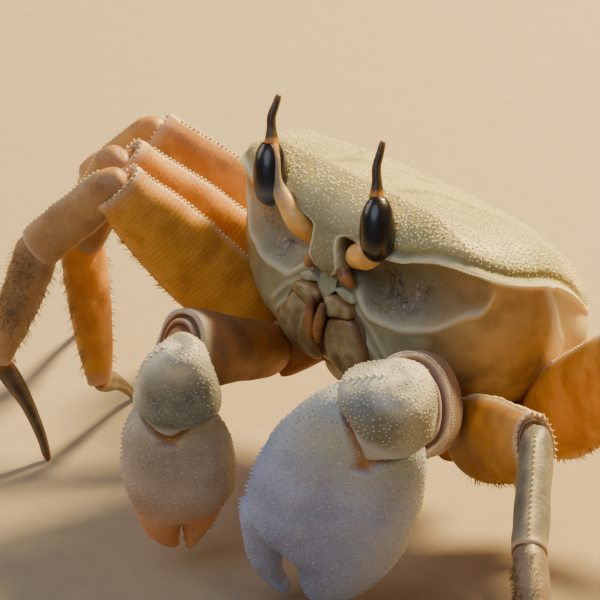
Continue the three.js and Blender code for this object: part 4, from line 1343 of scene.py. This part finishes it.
def edge_teeth(hand, local, rows, column, size, spacing):
    """Where teeth stand along one edge of a flattened body, and which way they point."""
    edge = local[rows, column]
    way = way_along(edge)
    points = points_at(way, edge, np.arange(spacing / 2, way[-1], spacing))
    sizes = size * (1 + 0.3 * value_noise(points, 1.3, 11.0))
    outer = unit(np.cross(np.gradient(points, axis=0), (0, 0, 1.0)))
    if (outer[:, 1] * np.sign(points[:, 1].mean() or 1)).mean() < 0:
        outer = -outer
    aims = outer + (0.35, 0, 0)
    return (hand.place(*points.T),
            aims[:, [0]] * hand.reach + aims[:, [1]] * hand.across + aims[:, [2]] * hand.face,
            sizes)


for side, claw in CLAWS.items():
    hand = Hand(claw)
    big = side == "L"
    palm, place, turn = flat_body(claw["hand"], claw["hand_thick"], swell, *PALM_GRID,
                                  HAND_CORNER)
    reach = palm[..., 0]
    cuff_gap = nearness(palm, claw["cuff"], claw["cuff_thick"], bulge, CUFF_PROUD)
    joint = hump(cuff_gap, 0.3, 0.34)
    high_edge = (hump(turn, 0, 0.16) + hump(turn, 2 * np.pi, 0.16))[None, :] * (0 * place + 1)
    outer = palm[..., 2] > 0
    height = (-0.85 * joint + 0.3 * high_edge * ease(place, 0.12, 0.3)
              + 0.12 * value_noise(palm, 2.2, 3.0) + 0.22 * value_noise(palm, 5.5, 4.0)
              - 0.35 * hump(palm[..., 1], -1.0, 2.5) * hump(reach, 20, 5) * big)
    palm = raised(palm, height)
    masks = {
        "wrist": 1 - ease(reach, -1.0, 9.0) if big else 0.5 * (1 - ease(reach, 0, 5)),
        "flush": ease(palm[..., 1] + 0.35 * reach, 5.5, 12.5) if big
        else ease(reach, 5, 13) * 0.8,
        "tip": ease(reach, 23, 30) * 0.5 if big else ease(reach, 11, 17),
        # rim: pale edge, painted brighter as a highlight, most on the big claw
        "rim": np.clip(high_edge * ease(place, 0.1, 0.3) * (0.9 if big else 0.3), 0, 1),
        "skin": joint,
        "grain": (0.35 + 0.65 * (1 - ease(place, 0.55, 0.95))) * ease(cuff_gap, 0.5, 1.1)
        * (0.8 + 0.2 * outer),
    }
    piece = keep(skin("claw_palm_skin_" + side, hand.place(*np.moveaxis(palm, -1, 0)), masks),
                 claw_finish[side], ["claw_palm_" + side])
    keep(scatter("claw_palm_beads_" + side, piece, bead_finish[side], *PALM_BEADS[side], 5),
         None)

    finger, place, turn = flat_body(claw["finger"], claw["finger_thick"], fade, *FINGER_GRID)
    cutting = hump(turn, 0 if big else np.pi, 0.5) + big * hump(turn, 2 * np.pi, 0.5)
    ripple = 0.16 * np.sin(finger[..., 0] * 2 * np.pi / RIPPLE_LENGTH) * cutting
    finger = raised(finger, ripple * ease(place, 0.3, 0.5)
                    + 0.07 * value_noise(finger, 1.4, 6.0))
    masks = {"tip": ease(place, 0.6, 1.0) * 0.45 if big else ease(place, 0.0, 0.5),
             "wrist": 0 * place, "flush": 0.5 * ease(place, 0, 0.5),
             "rim": 0.5 * np.clip(cutting, 0, 1) * ease(place, 0.3, 0.6),
             "skin": 1 - ease(place, 0.0, 0.05),
             "grain": 0.9 * (1 - ease(place, 0.35, 0.7))}
    piece = keep(skin("claw_finger_skin_" + side, hand.place(*np.moveaxis(finger, -1, 0)),
                      masks), claw_finish[side], ["claw_finger_" + side])
    keep(scatter("claw_finger_beads_" + side, piece, bead_finish[side], *FINGER_BEADS, 6),
         None)

    cuff, place, turn = flat_body(claw["cuff"], claw["cuff_thick"], bulge, *WRIST_GRID,
                                  proud=CUFF_PROUD)
    border = ease(place, 0.5, 0.75)
    teeth_side = hump(turn, np.pi, 0.45)[None, :] * (0 * place + 1)
    height = (0.12 * value_noise(cuff, 1.8, 3.0) + 0.15 * value_noise(cuff, 4.0, 4.0)
              + 0.18 * hump(place, 0.05, 0.05))
    cuff = raised(cuff, height)
    masks = {"streaks": (1 - border) * ease(cuff[..., 1], 1.0, 4.5) * (1 if big else 0.4),
             "border": border,
             "rim": np.clip(hump(place, 0.12, 0.1) * 0.6 + 0.7 * teeth_side * (1 - border), 0, 1),
             "grain": 0.85 * (1 - ease(place, 0.45, 0.7))}
    piece = keep(skin("claw_wrist_skin_" + side, hand.place(*np.moveaxis(cuff, -1, 0)), masks),
                 cuff_finish, ["claw_carpus_" + side])
    keep(scatter("claw_wrist_beads_" + side, piece, bead_finish["wrist_" + side],
                 *WRIST_BEADS, 7), None)

    points, aims, sizes = edge_teeth(hand, palm, PALM_TEETH[side], palm.shape[1] // 2,
                                     PALM_TOOTH[side], PALM_TOOTH_SPACING)
    finger_side = finger.shape[1] // 2 if big else 0
    more = edge_teeth(hand, finger, FINGER_TEETH, finger_side, FINGER_TOOTH,
                      FINGER_TOOTH_SPACING)
    points = np.concatenate([points, more[0]])
    aims, sizes = np.concatenate([aims, more[1]]), np.concatenate([sizes, more[2]])
    keep(studs("claw_edge_teeth_" + side, points, aims, sizes, bead_finish[side], TEETH, 1.9),
         None)
    points, aims, sizes = edge_teeth(hand, cuff, WRIST_TEETH, cuff.shape[1] // 2,
                                     WRIST_TOOTH, WRIST_TOOTH_SPACING)
    keep(studs("claw_wrist_teeth_" + side, points, aims, sizes, bead_finish["tooth"], TEETH,
               1.6), None)
print("claws:", {name: count for name, count in made.items() if "claw" in name})

# %% [markdown]
# A limb is a chain of segments, each a loft of ovals along a straight axis. A merus ends in a
# flared, toothed rim, and the next segment comes out of the recess inside it, so its table of
# stations turns back on itself. The extra columns of the table say where the rim and the recess
# are, and the paint reads them as masks; it darkens the recess as painted shade.

# %% Limb skins
# share of the length, half depth, half thickness, lift, rim, recess
MERUS = [(-0.02, 0.05, 0.06, 0, 0, 0), (0.04, 0.5, 0.62, 0, 0, 0),
         (0.12, 0.76, 0.85, 0, 0, 0), (0.35, 1, 1, 0, 0, 0), (0.65, 0.95, 1, 0, 0, 0),
         (0.86, 0.8, 0.95, 0, 0, 0), (0.94, 0.73, 0.92, 0, 0.15, 0),
         (0.97, 0.72, 0.92, 0, 0.8, 0), (0.99, 0.68, 0.87, 0, 1, 0),
         (0.99, 0.62, 0.79, 0, 0.3, 0.6), (0.975, 0.6, 0.76, 0, 0, 1),
         (0.99, 0.575, 0.73, 0, 0.9, 0), (0.985, 0.54, 0.69, 0, 0, 0.9),
         (0.995, 0.46, 0.6, 0, 0, 0.7), (1.005, 0.3, 0.4, 0, 0, 0.5),
         (1.01, 0.03, 0.04, 0, 0, 0)]
CARPUS = [(-0.15, 0.03, 0.04, 0, 0, 0), (-0.12, 0.3, 0.46, 0, 0, 0),
          (-0.03, 0.47, 0.7, 0, 0, 0), (0.06, 0.54, 0.78, 0, 0, 0), (0.35, 0.56, 0.82, 0, 0, 0),
          (0.75, 0.57, 0.84, 0, 0, 0), (0.94, 0.55, 0.82, 0, 0.2, 0), (1.0, 0.52, 0.79, 0, 1, 0),
          (1.005, 0.45, 0.68, 0, 0, 0.6), (0.98, 0.4, 0.6, 0, 0, 1), (0.99, 0.03, 0.04, 0, 0, 0)]
PROPODUS = [(-0.1, 0.03, 0.04, 0, 0, 0.5), (-0.08, 0.36, 0.52, 0, 0, 0.5),
            (0.0, 0.5, 0.7, 0, 0, 0), (0.1, 0.58, 0.78, 0, 0, 0), (0.5, 0.54, 0.72, 0, 0, 0),
            (0.88, 0.38, 0.56, 0, 0, 0), (0.95, 0.34, 0.51, 0, 0.5, 0),
            (1.0, 0.31, 0.48, 0, 0.8, 0), (0.995, 0.22, 0.34, 0, 0, 1),
            (1.0, 0.02, 0.03, 0, 0, 0)]
DACTYLUS = [(-0.06, 0.02, 0.03, 0, 0, 0), (-0.04, 0.2, 0.3, 0, 0, 0),
            (0.01, 0.24, 0.38, 0, 0, 0), (0.15, 0.26, 0.4, 0.05, 0, 0),
            (0.5, 0.17, 0.28, 0.14, 0, 0), (0.8, 0.12, 0.19, 0.09, 0, 0),
            (0.985, 0.08, 0.13, 0, 0, 0), (1.0, 0.03, 0.05, 0, 0, 0)]
HIP = [(-0.38, 0.3, 0.3, 0, 0, 0), (-0.35, 2.2, 2.0, 0, 0, 0), (0.3, 2.9, 2.5, 0, 0, 0),
       (0.8, 3.1, 2.4, 0, 0, 0), (1.1, 2.9, 2.2, 0, 0.5, 0), (1.2, 2.5, 1.9, 0, 0, 0.5),
       (1.22, 0.2, 0.2, 0, 0, 0)]
# share of the length, half depth, half thickness, and from the cup on lip and hollow
ARM = [(0.0, 0.05, 0.05), (0.06, 0.5, 0.53), (0.2, 0.86, 0.9), (0.5, 1, 1)]
ARM_CUP = [(0.84, 1.0, 0.76, 0, 0), (0.94, 1.01, 0.78, 0.2, 0), (0.99, 1.0, 0.77, 1, 0),
           (1.02, 0.97, 0.74, 1, 0), (1.03, 0.9, 0.67, 0.4, 0.2), (1.0, 0.82, 0.59, 0, 1),
           (1.0, 0.77, 0.55, 0, 1), (1.05, 0.74, 0.52, 0.6, 0), (1.06, 0.68, 0.47, 0, 0.5),
           (1.03, 0.6, 0.41, 0, 1), (1.08, 0.5, 0.34, 0, 0.3), (1.1, 0.3, 0.2, 0, 0),
           (1.105, 0.03, 0.03, 0, 0)]
HIP_GRID, MERUS_GRID, CARPUS_GRID = (44, 40), (190, 72), (110, 60)      # rows and columns
PROPODUS_GRID, DACTYLUS_GRID = (120, 56), (100, 48)
ARM_GRID, ARM_ROOT_GRID = (170, 96), (50, 56)
UP = np.array((0.0, 0.0, 1.0))


def limb(start, end, stations, grid, deep=1, thick=1, sway=0.0):
    """Rings of a segment and what is needed to carve and paint it. Its far end may sway."""
    rows, columns = grid
    axis = end - start
    length = np.linalg.norm(axis)
    along = axis / length
    side = unit(np.cross(along, UP))
    top = np.cross(side, along)
    table = np.array(stations, float) * (1, deep, thick, deep, 1, 1)
    measure = table[:, :3] * (length, 1, 1)
    knots = way_along(measure)
    at = np.linspace(0, knots[-1], rows)
    share, depth, breadth, lift, rim, recess = smooth(knots, table, at).T[:, :, None]
    turn = turns_round(columns)[None, :]
    across = (lift + depth * squarish(np.cos(turn), ROUND_CORNER))[..., None] * top
    aside = sway * ease(share, 0.72, 0.98)
    through = (aside + breadth * squarish(np.sin(turn), ROUND_CORNER))[..., None] * side
    rings = start + share[..., None] * axis + across + through
    whole = np.ones((rows, columns))
    return rings, {"share": share * whole, "turn": turn * whole, "rim": rim * whole,
                   "recess": recess * whole, "length": length, "along": along}


def toothed_rim(rings, facts, above=-0.3, spacing=0.6):
    """Points round the outermost lip of a segment, for teeth or beads that point ahead."""
    row = int(np.argmax(facts["rim"][:, 0] + 1e-3 * facts["share"][:, 0]))
    loop = rings[row]
    raised = np.cos(facts["turn"][row]) > above
    loop = np.roll(loop, len(loop) // 2, axis=0)[np.roll(raised, len(loop) // 2)]
    points = along_path(loop[::2], max(4, int(way_along(loop)[-1] / spacing)))
    middle = rings[row].mean(0)
    return points, unit(points - middle) * 0.8 + facts["along"] * 0.7


def crest_line(rings, facts, turn, low=0.14, high=0.95):
    """Evenly spread points along a segment at one turn round it."""
    column = int(round(turn / (2 * np.pi) * rings.shape[1])) % rings.shape[1]
    share = facts["share"][:, column]
    until = int(np.argmax(share >= high)) or len(share)
    rows = (share > low) & (np.arange(len(share)) < until)
    return rings[rows, column]


print("limb tables ready")

# %% [markdown]
# The arms are short and thick. Each ends at the elbow in a wide cup with a beaded lip, which
# the wrist plate turns in.

# %% Arms of the claws
LIP_BEAD_SPACING, LIP_BEAD_RADIUS = 0.3, 0.15
ALL_ROUND = -2.0                                             # no part of a rim is this low

for side, claw in CLAWS.items():
    root, shoulder, elbow = (on_trunk(claw[key]) for key in ("root", "shoulder", "elbow"))
    deep, thick, rim = claw["deep"], claw["thick"], claw["rim"]
    stations = ([(s, d * deep, t * thick, 0, 0, 0) for s, d, t in ARM]
                + [(s, d * rim, t * rim, 0, lip, hollow) for s, d, t, lip, hollow in ARM_CUP])
    rings, facts = limb(shoulder, elbow, stations, ARM_GRID, sway=claw["sway"])
    rings = raised(rings, 0.12 * value_noise(rings, 2.0, 8.0))
    # recess: painted shade in the elbow cup, stronger on the left arm
    masks = {"rim": facts["rim"], "recess": facts["recess"] * (1 if side == "L" else 0.4),
             "root": 1 - ease(facts["share"], 0.15, 0.75),
             "dusty": ease(facts["share"], 0.4, 0.8) * (0.9 if side == "L" else 0.12)}
    piece = keep(skin("claw_arm_skin_" + side, rings, masks), arm_finish,
                 ["claw_merus_" + side])
    points, aims = toothed_rim(rings, facts, above=ALL_ROUND, spacing=LIP_BEAD_SPACING)
    size = LIP_BEAD_RADIUS + 0.06 * value_noise(points, 0.9, 4.0)
    keep(studs("claw_arm_teeth_" + side, points, aims, size, bead_finish["R"]), None)
    table = [(s, d, t, 0, 0, 0) for s, d, t in ARM_ROOT]
    table = [(-0.22, 0.1, 0.1, 0, 0, 0)] + table + [(1.52, 0.1, 0.1, 0, 0, 0)]
    rings, facts = limb(root, shoulder, table, ARM_ROOT_GRID)
    plain = 0 * facts["rim"]
    masks = {"rim": plain, "recess": plain, "root": plain + 1, "dusty": plain}
    keep(skin("claw_base_skin_" + side, rings, masks), arm_finish,
         ["claw_base_" + side])
print("arms:", made["claw_arm_skin_L"], "triangles each")

# %% [markdown]
# Walking legs glow orange where they are thin. Cream beaded crests run along the top of each
# merus, its sides carry fine cross lines, and the shin is duller and rough with short bristles.
# The last segment is a fluted, nearly black spike.

# %% Leg finishes
def leg_paint(name, warm, warm_dark, dull, dull_dark, scatter_share):
    """Enamel of a leg: its warm mask mixes the dull pair of tints and the warm pair."""
    finish = Finish(name, roughness=0.42, subsurface_weight=scatter_share,
                    subsurface_radius=(0.004, 0.0026, 0.0008), subsurface_scale=0.5)
    cloud = finish.noise(3.5, 5)
    fine = finish.noise(0.5, 4, seed=3.0)
    bright = finish.mix(tint(warm), tint(warm_dark), finish.step(cloud, 0.36, 0.72))
    muddy = finish.mix(tint(dull), tint(dull_dark), finish.step(cloud, 0.36, 0.72))
    colour = finish.mix(muddy, bright, finish.mask("warm"))
    lines = finish.step((finish.mask("millimetres") * 11.0 + 7.0 * fine).sine(), 0.0, 0.9)
    spots = finish.step(finish.noise(0.6, 3, seed=8.0), 0.52, 0.62)
    colour = finish.mix(colour, tint("b9a880"), spots * finish.mask("streaks") * 0.16)
    colour = finish.mix(colour, tint("e3cd98"), finish.mask("crest") * 0.6)
    colour = finish.mix(colour, tint("cdb098"), finish.mask("rim") * 0.65)
    # painted shade: the recess inside each rim is darker
    colour = finish.mix(colour, tint("83502c"), finish.mask("recess") * 0.75)
    colour = finish.mix(colour, tint("5f4c38"), finish.mask("fuzz") * (0.3 + 0.5 * fine))
    return finish.feed(
        base_color=colour, roughness=0.36 + 0.25 * fine + 0.25 * finish.mask("fuzz"),
        normal=finish.bump(0.35 * lines * finish.mask("lined") + 0.8 * fine, 0.07, 0.8))


def toe_paint():
    """Nearly black spike with paler flutes and a warmer root and tip."""
    finish = Finish("toe_enamel", roughness=0.4, subsurface_weight=0.08, **SHELL_SCATTER)
    cloud = finish.noise(1.6, 4)
    flutes = finish.mask("flute")
    colour = finish.mix(tint("3c3128"), tint("5e5040"), finish.step(cloud, 0.4, 0.7))
    colour = finish.mix(colour, tint("8a7558"), flutes * 0.5)
    colour = finish.mix(colour, tint("b07a3c"), finish.mask("root") * 0.7)
    colour = finish.mix(colour, tint("8a5f34"), finish.mask("tip") * 0.6)
    return finish.feed(base_color=colour, roughness=0.34 + 0.25 * cloud,
                       normal=finish.bump(cloud, 0.06, 0.8))


leg_finish = leg_paint("leg_enamel", "d6983a", "b47424", "8a5a22", "6b4018", 0.3)
shank_finish = leg_paint("shank_enamel", "d6963a", "ba7526", "746f64", "5c5850", 0.18)
toe_finish = toe_paint()
crest_finish = face_paint("crest_beads", "dcc690", "c9b079", "dccfa8")

# %% Sizes of the legs
# where each pair leaves the trunk and bends, its segments' lengths, its merus's half sizes
LEGS = {
    2: {"root": (9.6, -6.2, -19.8), "hip": (14.0, -9.0, -21.2),
        "lengths": (25.6, 12.5, 17, 14.7), "deep": 4.4, "thick": 2.2},
    3: {"root": (11.6, -1.0, -19.8), "hip": (18.2, -1.9, -21.2),
        "lengths": (27.2, 12, 18.5, 15.7), "deep": 4.9, "thick": 2.2},
    4: {"root": (11.4, 4.6, -19.2), "hip": (17.7, 6.2, -20.0), "lengths": (28, 12.5, 18, 14),
        "deep": 4.4, "thick": 2.1},
    5: {"root": (9.6, 9.6, -18.0), "hip": (14.6, 13.0, -18.6), "lengths": (20, 9.5, 13, 11.5),
        "deep": 3.1, "thick": 1.7},
}
TIP_HEIGHT = 0.06
# headings of merus, carpus and propodus, then the dactylus's azimuth; the floor does the rest
POSES = {
    "R2": ((-40, 48.5), (-62, -43), (-82, -66), 152),
    "R3": ((-36, 45), (-82, -61), (179, -84), -148),
    "R4": ((-65, 33), (-80, -42), (-101, -75), -135),
    "R5": ((-86, 27), (-93, -32), (-101, -76), -110),
    "L2": ((65, 24), (40, -31), (49, -36), 51),
    "L3": ((83, 41), (79, -20), (76, -52), 80),
    "L4": ((93, 38), (92, -21), (103, -72), 111),
    "L5": ((124, 27), (120, -25), (126, -68), 143),
}
# how orange the merus, carpus and propodus are; the second left leg's low numbers are partly
# painted shade, as that leg stands in shade
WARMTH_AND_SHADE = {"R2": (1.0, 0.5, 0.42), "R3": (1.0, 0.5, 1.0), "R4": (1.0, 0.8, 0.8),
          "R5": (0.9, 0.7, 0.7), "L2": (0.55, 0.0, 0.15), "L3": (1.0, 0.6, 0.6),
          "L4": (1.0, 0.7, 0.7), "L5": (0.9, 0.7, 0.7)}


def joints_of(leg):
    """Hip, knee, ankle, toe and tip of a leg."""
    build = LEGS[int(leg[1])]
    mirror = (-1, 1, 1) if leg[0] == "R" else (1, 1, 1)
    points = [on_trunk(np.array(build["hip"]) * mirror)]
    for (azimuth, elevation), length in zip(POSES[leg][:3], build["lengths"]):
        points.append(points[-1] + heading(azimuth, elevation) * length)
    last = build["lengths"][3]
    drop = -math.degrees(math.asin((points[-1][2] - TIP_HEIGHT) / last))
    points.append(points[-1] + heading(POSES[leg][3], drop) * last)
    return on_trunk(np.array(build["root"]) * mirror), points


# %% [markdown]
# Bristles are thin three-sided spikes, bent a little towards the segment's end. They are grown
# in rows along the lower edges and in a brush on the shins, each with its own small patch of
# the bristle map, so that a baked picture of them keeps its colours apart.

# %% Bristles
BRISTLE_RADIUS, BRISTLE_DROOP = 0.05, 0.25
BRISTLE_PATCH, MAP_SIDE = 0.003, 8                 # each tuft's place on a map of 8 by 8 fields


def bristle_paint():
    finish = Finish("bristle", roughness=0.6)
    return finish.feed(base_color=finish.mix(tint("6b5438"), tint("b4935c"),
                                             finish.noise(1.5, 2)))


bristle_finish = bristle_paint()
tufts = {"points": [], "faces": [], "places": []}


def grow(roots, aims, lengths, bend, places):
    """Adds one bristle per root, in millimetres, to the coat."""
    for root, aim, length, droop, place in zip(roots, unit(aims), lengths, bend, places):
        side = unit(np.cross(aim, droop))
        other = np.cross(aim, side)
        base = len(tufts["points"])
        for share, width in ((0.0, 1.0), (0.55, 0.7)):
            middle = root + aim * length * share + droop * length * BRISTLE_DROOP * share**2
            for turn in (0.0, 2.1, 4.2):
                tufts["points"].append(middle + BRISTLE_RADIUS * width * (
                    side * math.cos(turn) + other * math.sin(turn)))
        tufts["points"].append(root + aim * length + droop * length * BRISTLE_DROOP)
        corners = [(0, 1, 4, 3), (1, 2, 5, 4), (2, 0, 3, 5), (3, 4, 6), (4, 5, 6), (5, 3, 6),
                   (2, 1, 0)]
        tufts["faces"].extend([tuple(base + i for i in face) for face in corners])
        tufts["places"].extend([place] * len(corners))


def bristles_on(rings, facts, turns, low, high, count, length, patch, seed):
    """Bristles between two shares of a segment, within a range of turns round it."""
    random = np.random.default_rng(seed)
    columns = rings.shape[1]
    normal = outward(rings)
    outer = np.nonzero((facts["share"][:, 0] > low) & (facts["share"][:, 0] < high)
                       & (facts["recess"][:, 0] < 0.1))[0]
    row = random.choice(outer, count)
    column = (random.uniform(turns[0], turns[1], count) / (2 * np.pi) * columns).astype(int)
    column %= columns
    roots = rings[row, column] - normal[row, column] * BRISTLE_RADIUS
    aims = normal[row, column] + facts["along"] * 0.55 + random.normal(0, 0.18, (count, 3))
    places = np.stack([patch % MAP_SIDE + facts["share"][row, column],
                       patch // MAP_SIDE + column / columns], 1) / MAP_SIDE
    grow(roots, aims, random.uniform(0.6, 1.1, count) * length,
         np.tile(facts["along"], (count, 1)), places)


def coat(name):
    """Makes one piece of all bristles grown so far, with its bristle map."""
    points = np.array(tufts["points"])
    piece = mesh_piece(name, points, tufts["faces"])
    layer = piece.data.uv_layers.new(name="OFBake")
    sizes = np.array([len(face) for face in tufts["faces"]])
    places = np.repeat(np.array(tufts["places"]), sizes, axis=0)
    corner = np.concatenate([np.arange(size) for size in sizes]) * (math.pi / 2)
    spread = np.stack([np.cos(corner), np.sin(corner)], 1) * BRISTLE_PATCH / 2
    layer.data.foreach_set("uv", (places + spread).ravel())
    for values in tufts.values():
        values.clear()
    return keep(piece, bristle_finish)


# %% Legs
def leg_masks(facts, warm, crest, fuzz, lined, streaks):
    """What the leg finishes read. warm, lined and streaks are single numbers."""
    share = facts["share"]
    return {"warm": 0 * share + warm, "crest": np.clip(crest, 0, 1), "rim": facts["rim"],
            "recess": facts["recess"], "fuzz": np.clip(fuzz, 0, 1), "lined": 0 * share + lined,
            "streaks": 0 * share + streaks,
            "millimetres": share * facts["length"]}


def keep_segment(leg, part, rings, masks, finish):
    """Keeps one segment of a leg, in place of the solid it stands for."""
    piece = skin("leg{1}_{2}_skin_{0}".format(*leg, part), rings, masks)
    keep(piece, finish, ["leg{1}_{2}_{0}".format(*leg, part)])


def around(turn, centre, width):
    """Hump round a segment at a turn, that closes on itself."""
    gap = np.abs((turn - centre + np.pi) % (2 * np.pi) - np.pi)
    return np.exp(-((gap / width) ** 2))


MERUS_CRESTS = (0.21, 0.16)                        # bead radii of the upper and lower crest
SHANK_CREST, RIM_TOOTH = 0.16, 0.2
MERUS_BEAD_SPACING, SHANK_BEAD_SPACING = 0.52, 0.6
LOWER_CREST_TURN, SHAGGY_LEGS = 0.62, "23"         # legs 2 and 3 have a brush on the shin
MERUS_FRINGE, SHANK_FRINGE, SHIN_BRUSH = (90, 0.9), (70, 1.0), (260, 0.7)   # bristles, length

crest_points, crest_sizes, rim_points, rim_aims = [], [], [], []
for number, leg in enumerate(POSES):
    root, (hip, knee, ankle, toe, tip) = joints_of(leg)
    build = LEGS[int(leg[1])]
    deep, thick = build["deep"], build["thick"]
    warm = WARMTH_AND_SHADE[leg]
    front = 0.5 * np.pi if leg[0] == "L" else 1.5 * np.pi
    lower_crest = 2 * np.pi - LOWER_CREST_TURN * (1 if leg[0] == "L" else -1)
    shaggy = leg[1] in SHAGGY_LEGS

    rings, facts = limb(root, hip, HIP, HIP_GRID)
    plain = 0 * facts["rim"]
    keep_segment(leg, "hip", rings, leg_masks(facts, 0.7, plain, plain, 0, 0), leg_finish)

    rings, facts = limb(hip, knee, MERUS, MERUS_GRID, deep, thick)
    share, turn = facts["share"], facts["turn"]
    length_mask = ease(share, 0.06, 0.16) * (1 - facts["recess"])
    crest = (around(turn, 0, 0.2) + 0.8 * around(turn, lower_crest, 0.13)) * length_mask
    keel = around(turn, np.pi, 0.16) * length_mask
    height = (0.26 * crest + 0.18 * keel + 0.1 * value_noise(rings, 2.4, number)
              + 0.16 * facts["rim"] * (0.6 + 0.4 * np.cos(turn)))
    rings = raised(rings, height)
    masks = leg_masks(facts, warm[0], crest + 0.35 * keel, 0 * share, 1, 0)
    keep_segment(leg, "merus", rings, masks, leg_finish)
    for place, size in zip((0.0, lower_crest), MERUS_CRESTS):
        line = crest_line(rings, facts, place)
        beads = along_path(line[::3], int(way_along(line)[-1] / MERUS_BEAD_SPACING))
        crest_points.append(beads)
        crest_sizes.append(size * (1 + 0.3 * value_noise(beads, 0.7, 9.0)))
    points, aims = toothed_rim(rings, facts, above=-0.5)
    rim_points.append(points)
    rim_aims.append(aims)
    bristles_on(rings, facts, (np.pi - 0.35, np.pi + 0.35), 0.12, 0.9, *MERUS_FRINGE,
                number, number)

    rings, facts = limb(knee, ankle, CARPUS, CARPUS_GRID, deep, thick)
    share, turn = facts["share"], facts["turn"]
    crest = around(turn, 0, 0.24) * ease(share, 0.0, 0.1) * (1 - facts["recess"])
    fuzz = around(turn, front, 0.7) * hump(share, 0.8, 0.3) * shaggy
    height = (0.16 * crest + 0.12 * value_noise(rings, 1.8, number + 20)
              + 0.12 * facts["rim"])
    rings = raised(rings, height)
    masks = leg_masks(facts, warm[1], 0.8 * crest, 0.5 * fuzz, 0.2, 1)
    keep_segment(leg, "carpus", rings, masks, shank_finish)
    line = crest_line(rings, facts, 0.0, 0.02, 0.97)
    beads = along_path(line[::3], int(np.linalg.norm(line[-1] - line[0]) / SHANK_BEAD_SPACING))
    crest_points.append(beads)
    crest_sizes.append(np.full(len(beads), SHANK_CREST))

    rings, facts = limb(ankle, toe, PROPODUS, PROPODUS_GRID, deep, thick)
    share, turn = facts["share"], facts["turn"]
    crest = (around(turn, 0, 0.26) + around(turn, np.pi, 0.26)) * (1 - facts["recess"])
    fuzz = around(turn, front, 0.8) * (1 - ease(share, 0.5, 0.9)) * shaggy
    height = 0.14 * crest + 0.1 * value_noise(rings, 1.6, number + 40)
    rings = raised(rings, height)
    masks = leg_masks(facts, warm[2], 0.6 * crest, fuzz, 0.3, 0.8)
    keep_segment(leg, "propodus", rings, masks, shank_finish)
    for edge in (0.0, np.pi):
        bristles_on(rings, facts, (edge - 0.3, edge + 0.3), 0.05, 0.95, *SHANK_FRINGE,
                    number + 8, 50 + number)
    if shaggy:
        bristles_on(rings, facts, (front - 0.7, front + 0.7), 0.05, 0.7, *SHIN_BRUSH,
                    number + 16, 80 + number)

    rings, facts = limb(toe, tip, DACTYLUS, DACTYLUS_GRID, deep, thick)
    share, turn = facts["share"], facts["turn"]
    flute = 0.5 + 0.5 * np.cos(6 * turn)
    rings = raised(rings, 0.1 * (flute - 0.5) * ease(share, 0.0, 0.2)
                   * (1 - ease(share, 0.9, 1.0)))
    rings[..., 2] = np.maximum(rings[..., 2], 0.0)
    masks = {"flute": flute * ease(share, 0.05, 0.2), "root": 1 - ease(share, 0.0, 0.16),
             "tip": ease(share, 0.82, 1.0)}
    keep_segment(leg, "dactylus", rings, masks, toe_finish)

points = np.concatenate(crest_points)
keep(studs("leg_crest_beads", points, np.tile(UP, (len(points), 1)),
           np.concatenate(crest_sizes), crest_finish), None)
points, aims = np.concatenate(rim_points), np.concatenate(rim_aims)
keep(studs("leg_rim_teeth", points, aims, RIM_TOOTH + 0.05 * value_noise(points, 0.9, 4.0),
           crest_finish, TEETH, 1.9), None)
coat("leg_bristles")
print("legs:", made["leg_crest_beads"], "bead triangles,", made["leg_bristles"],
      "bristle triangles")
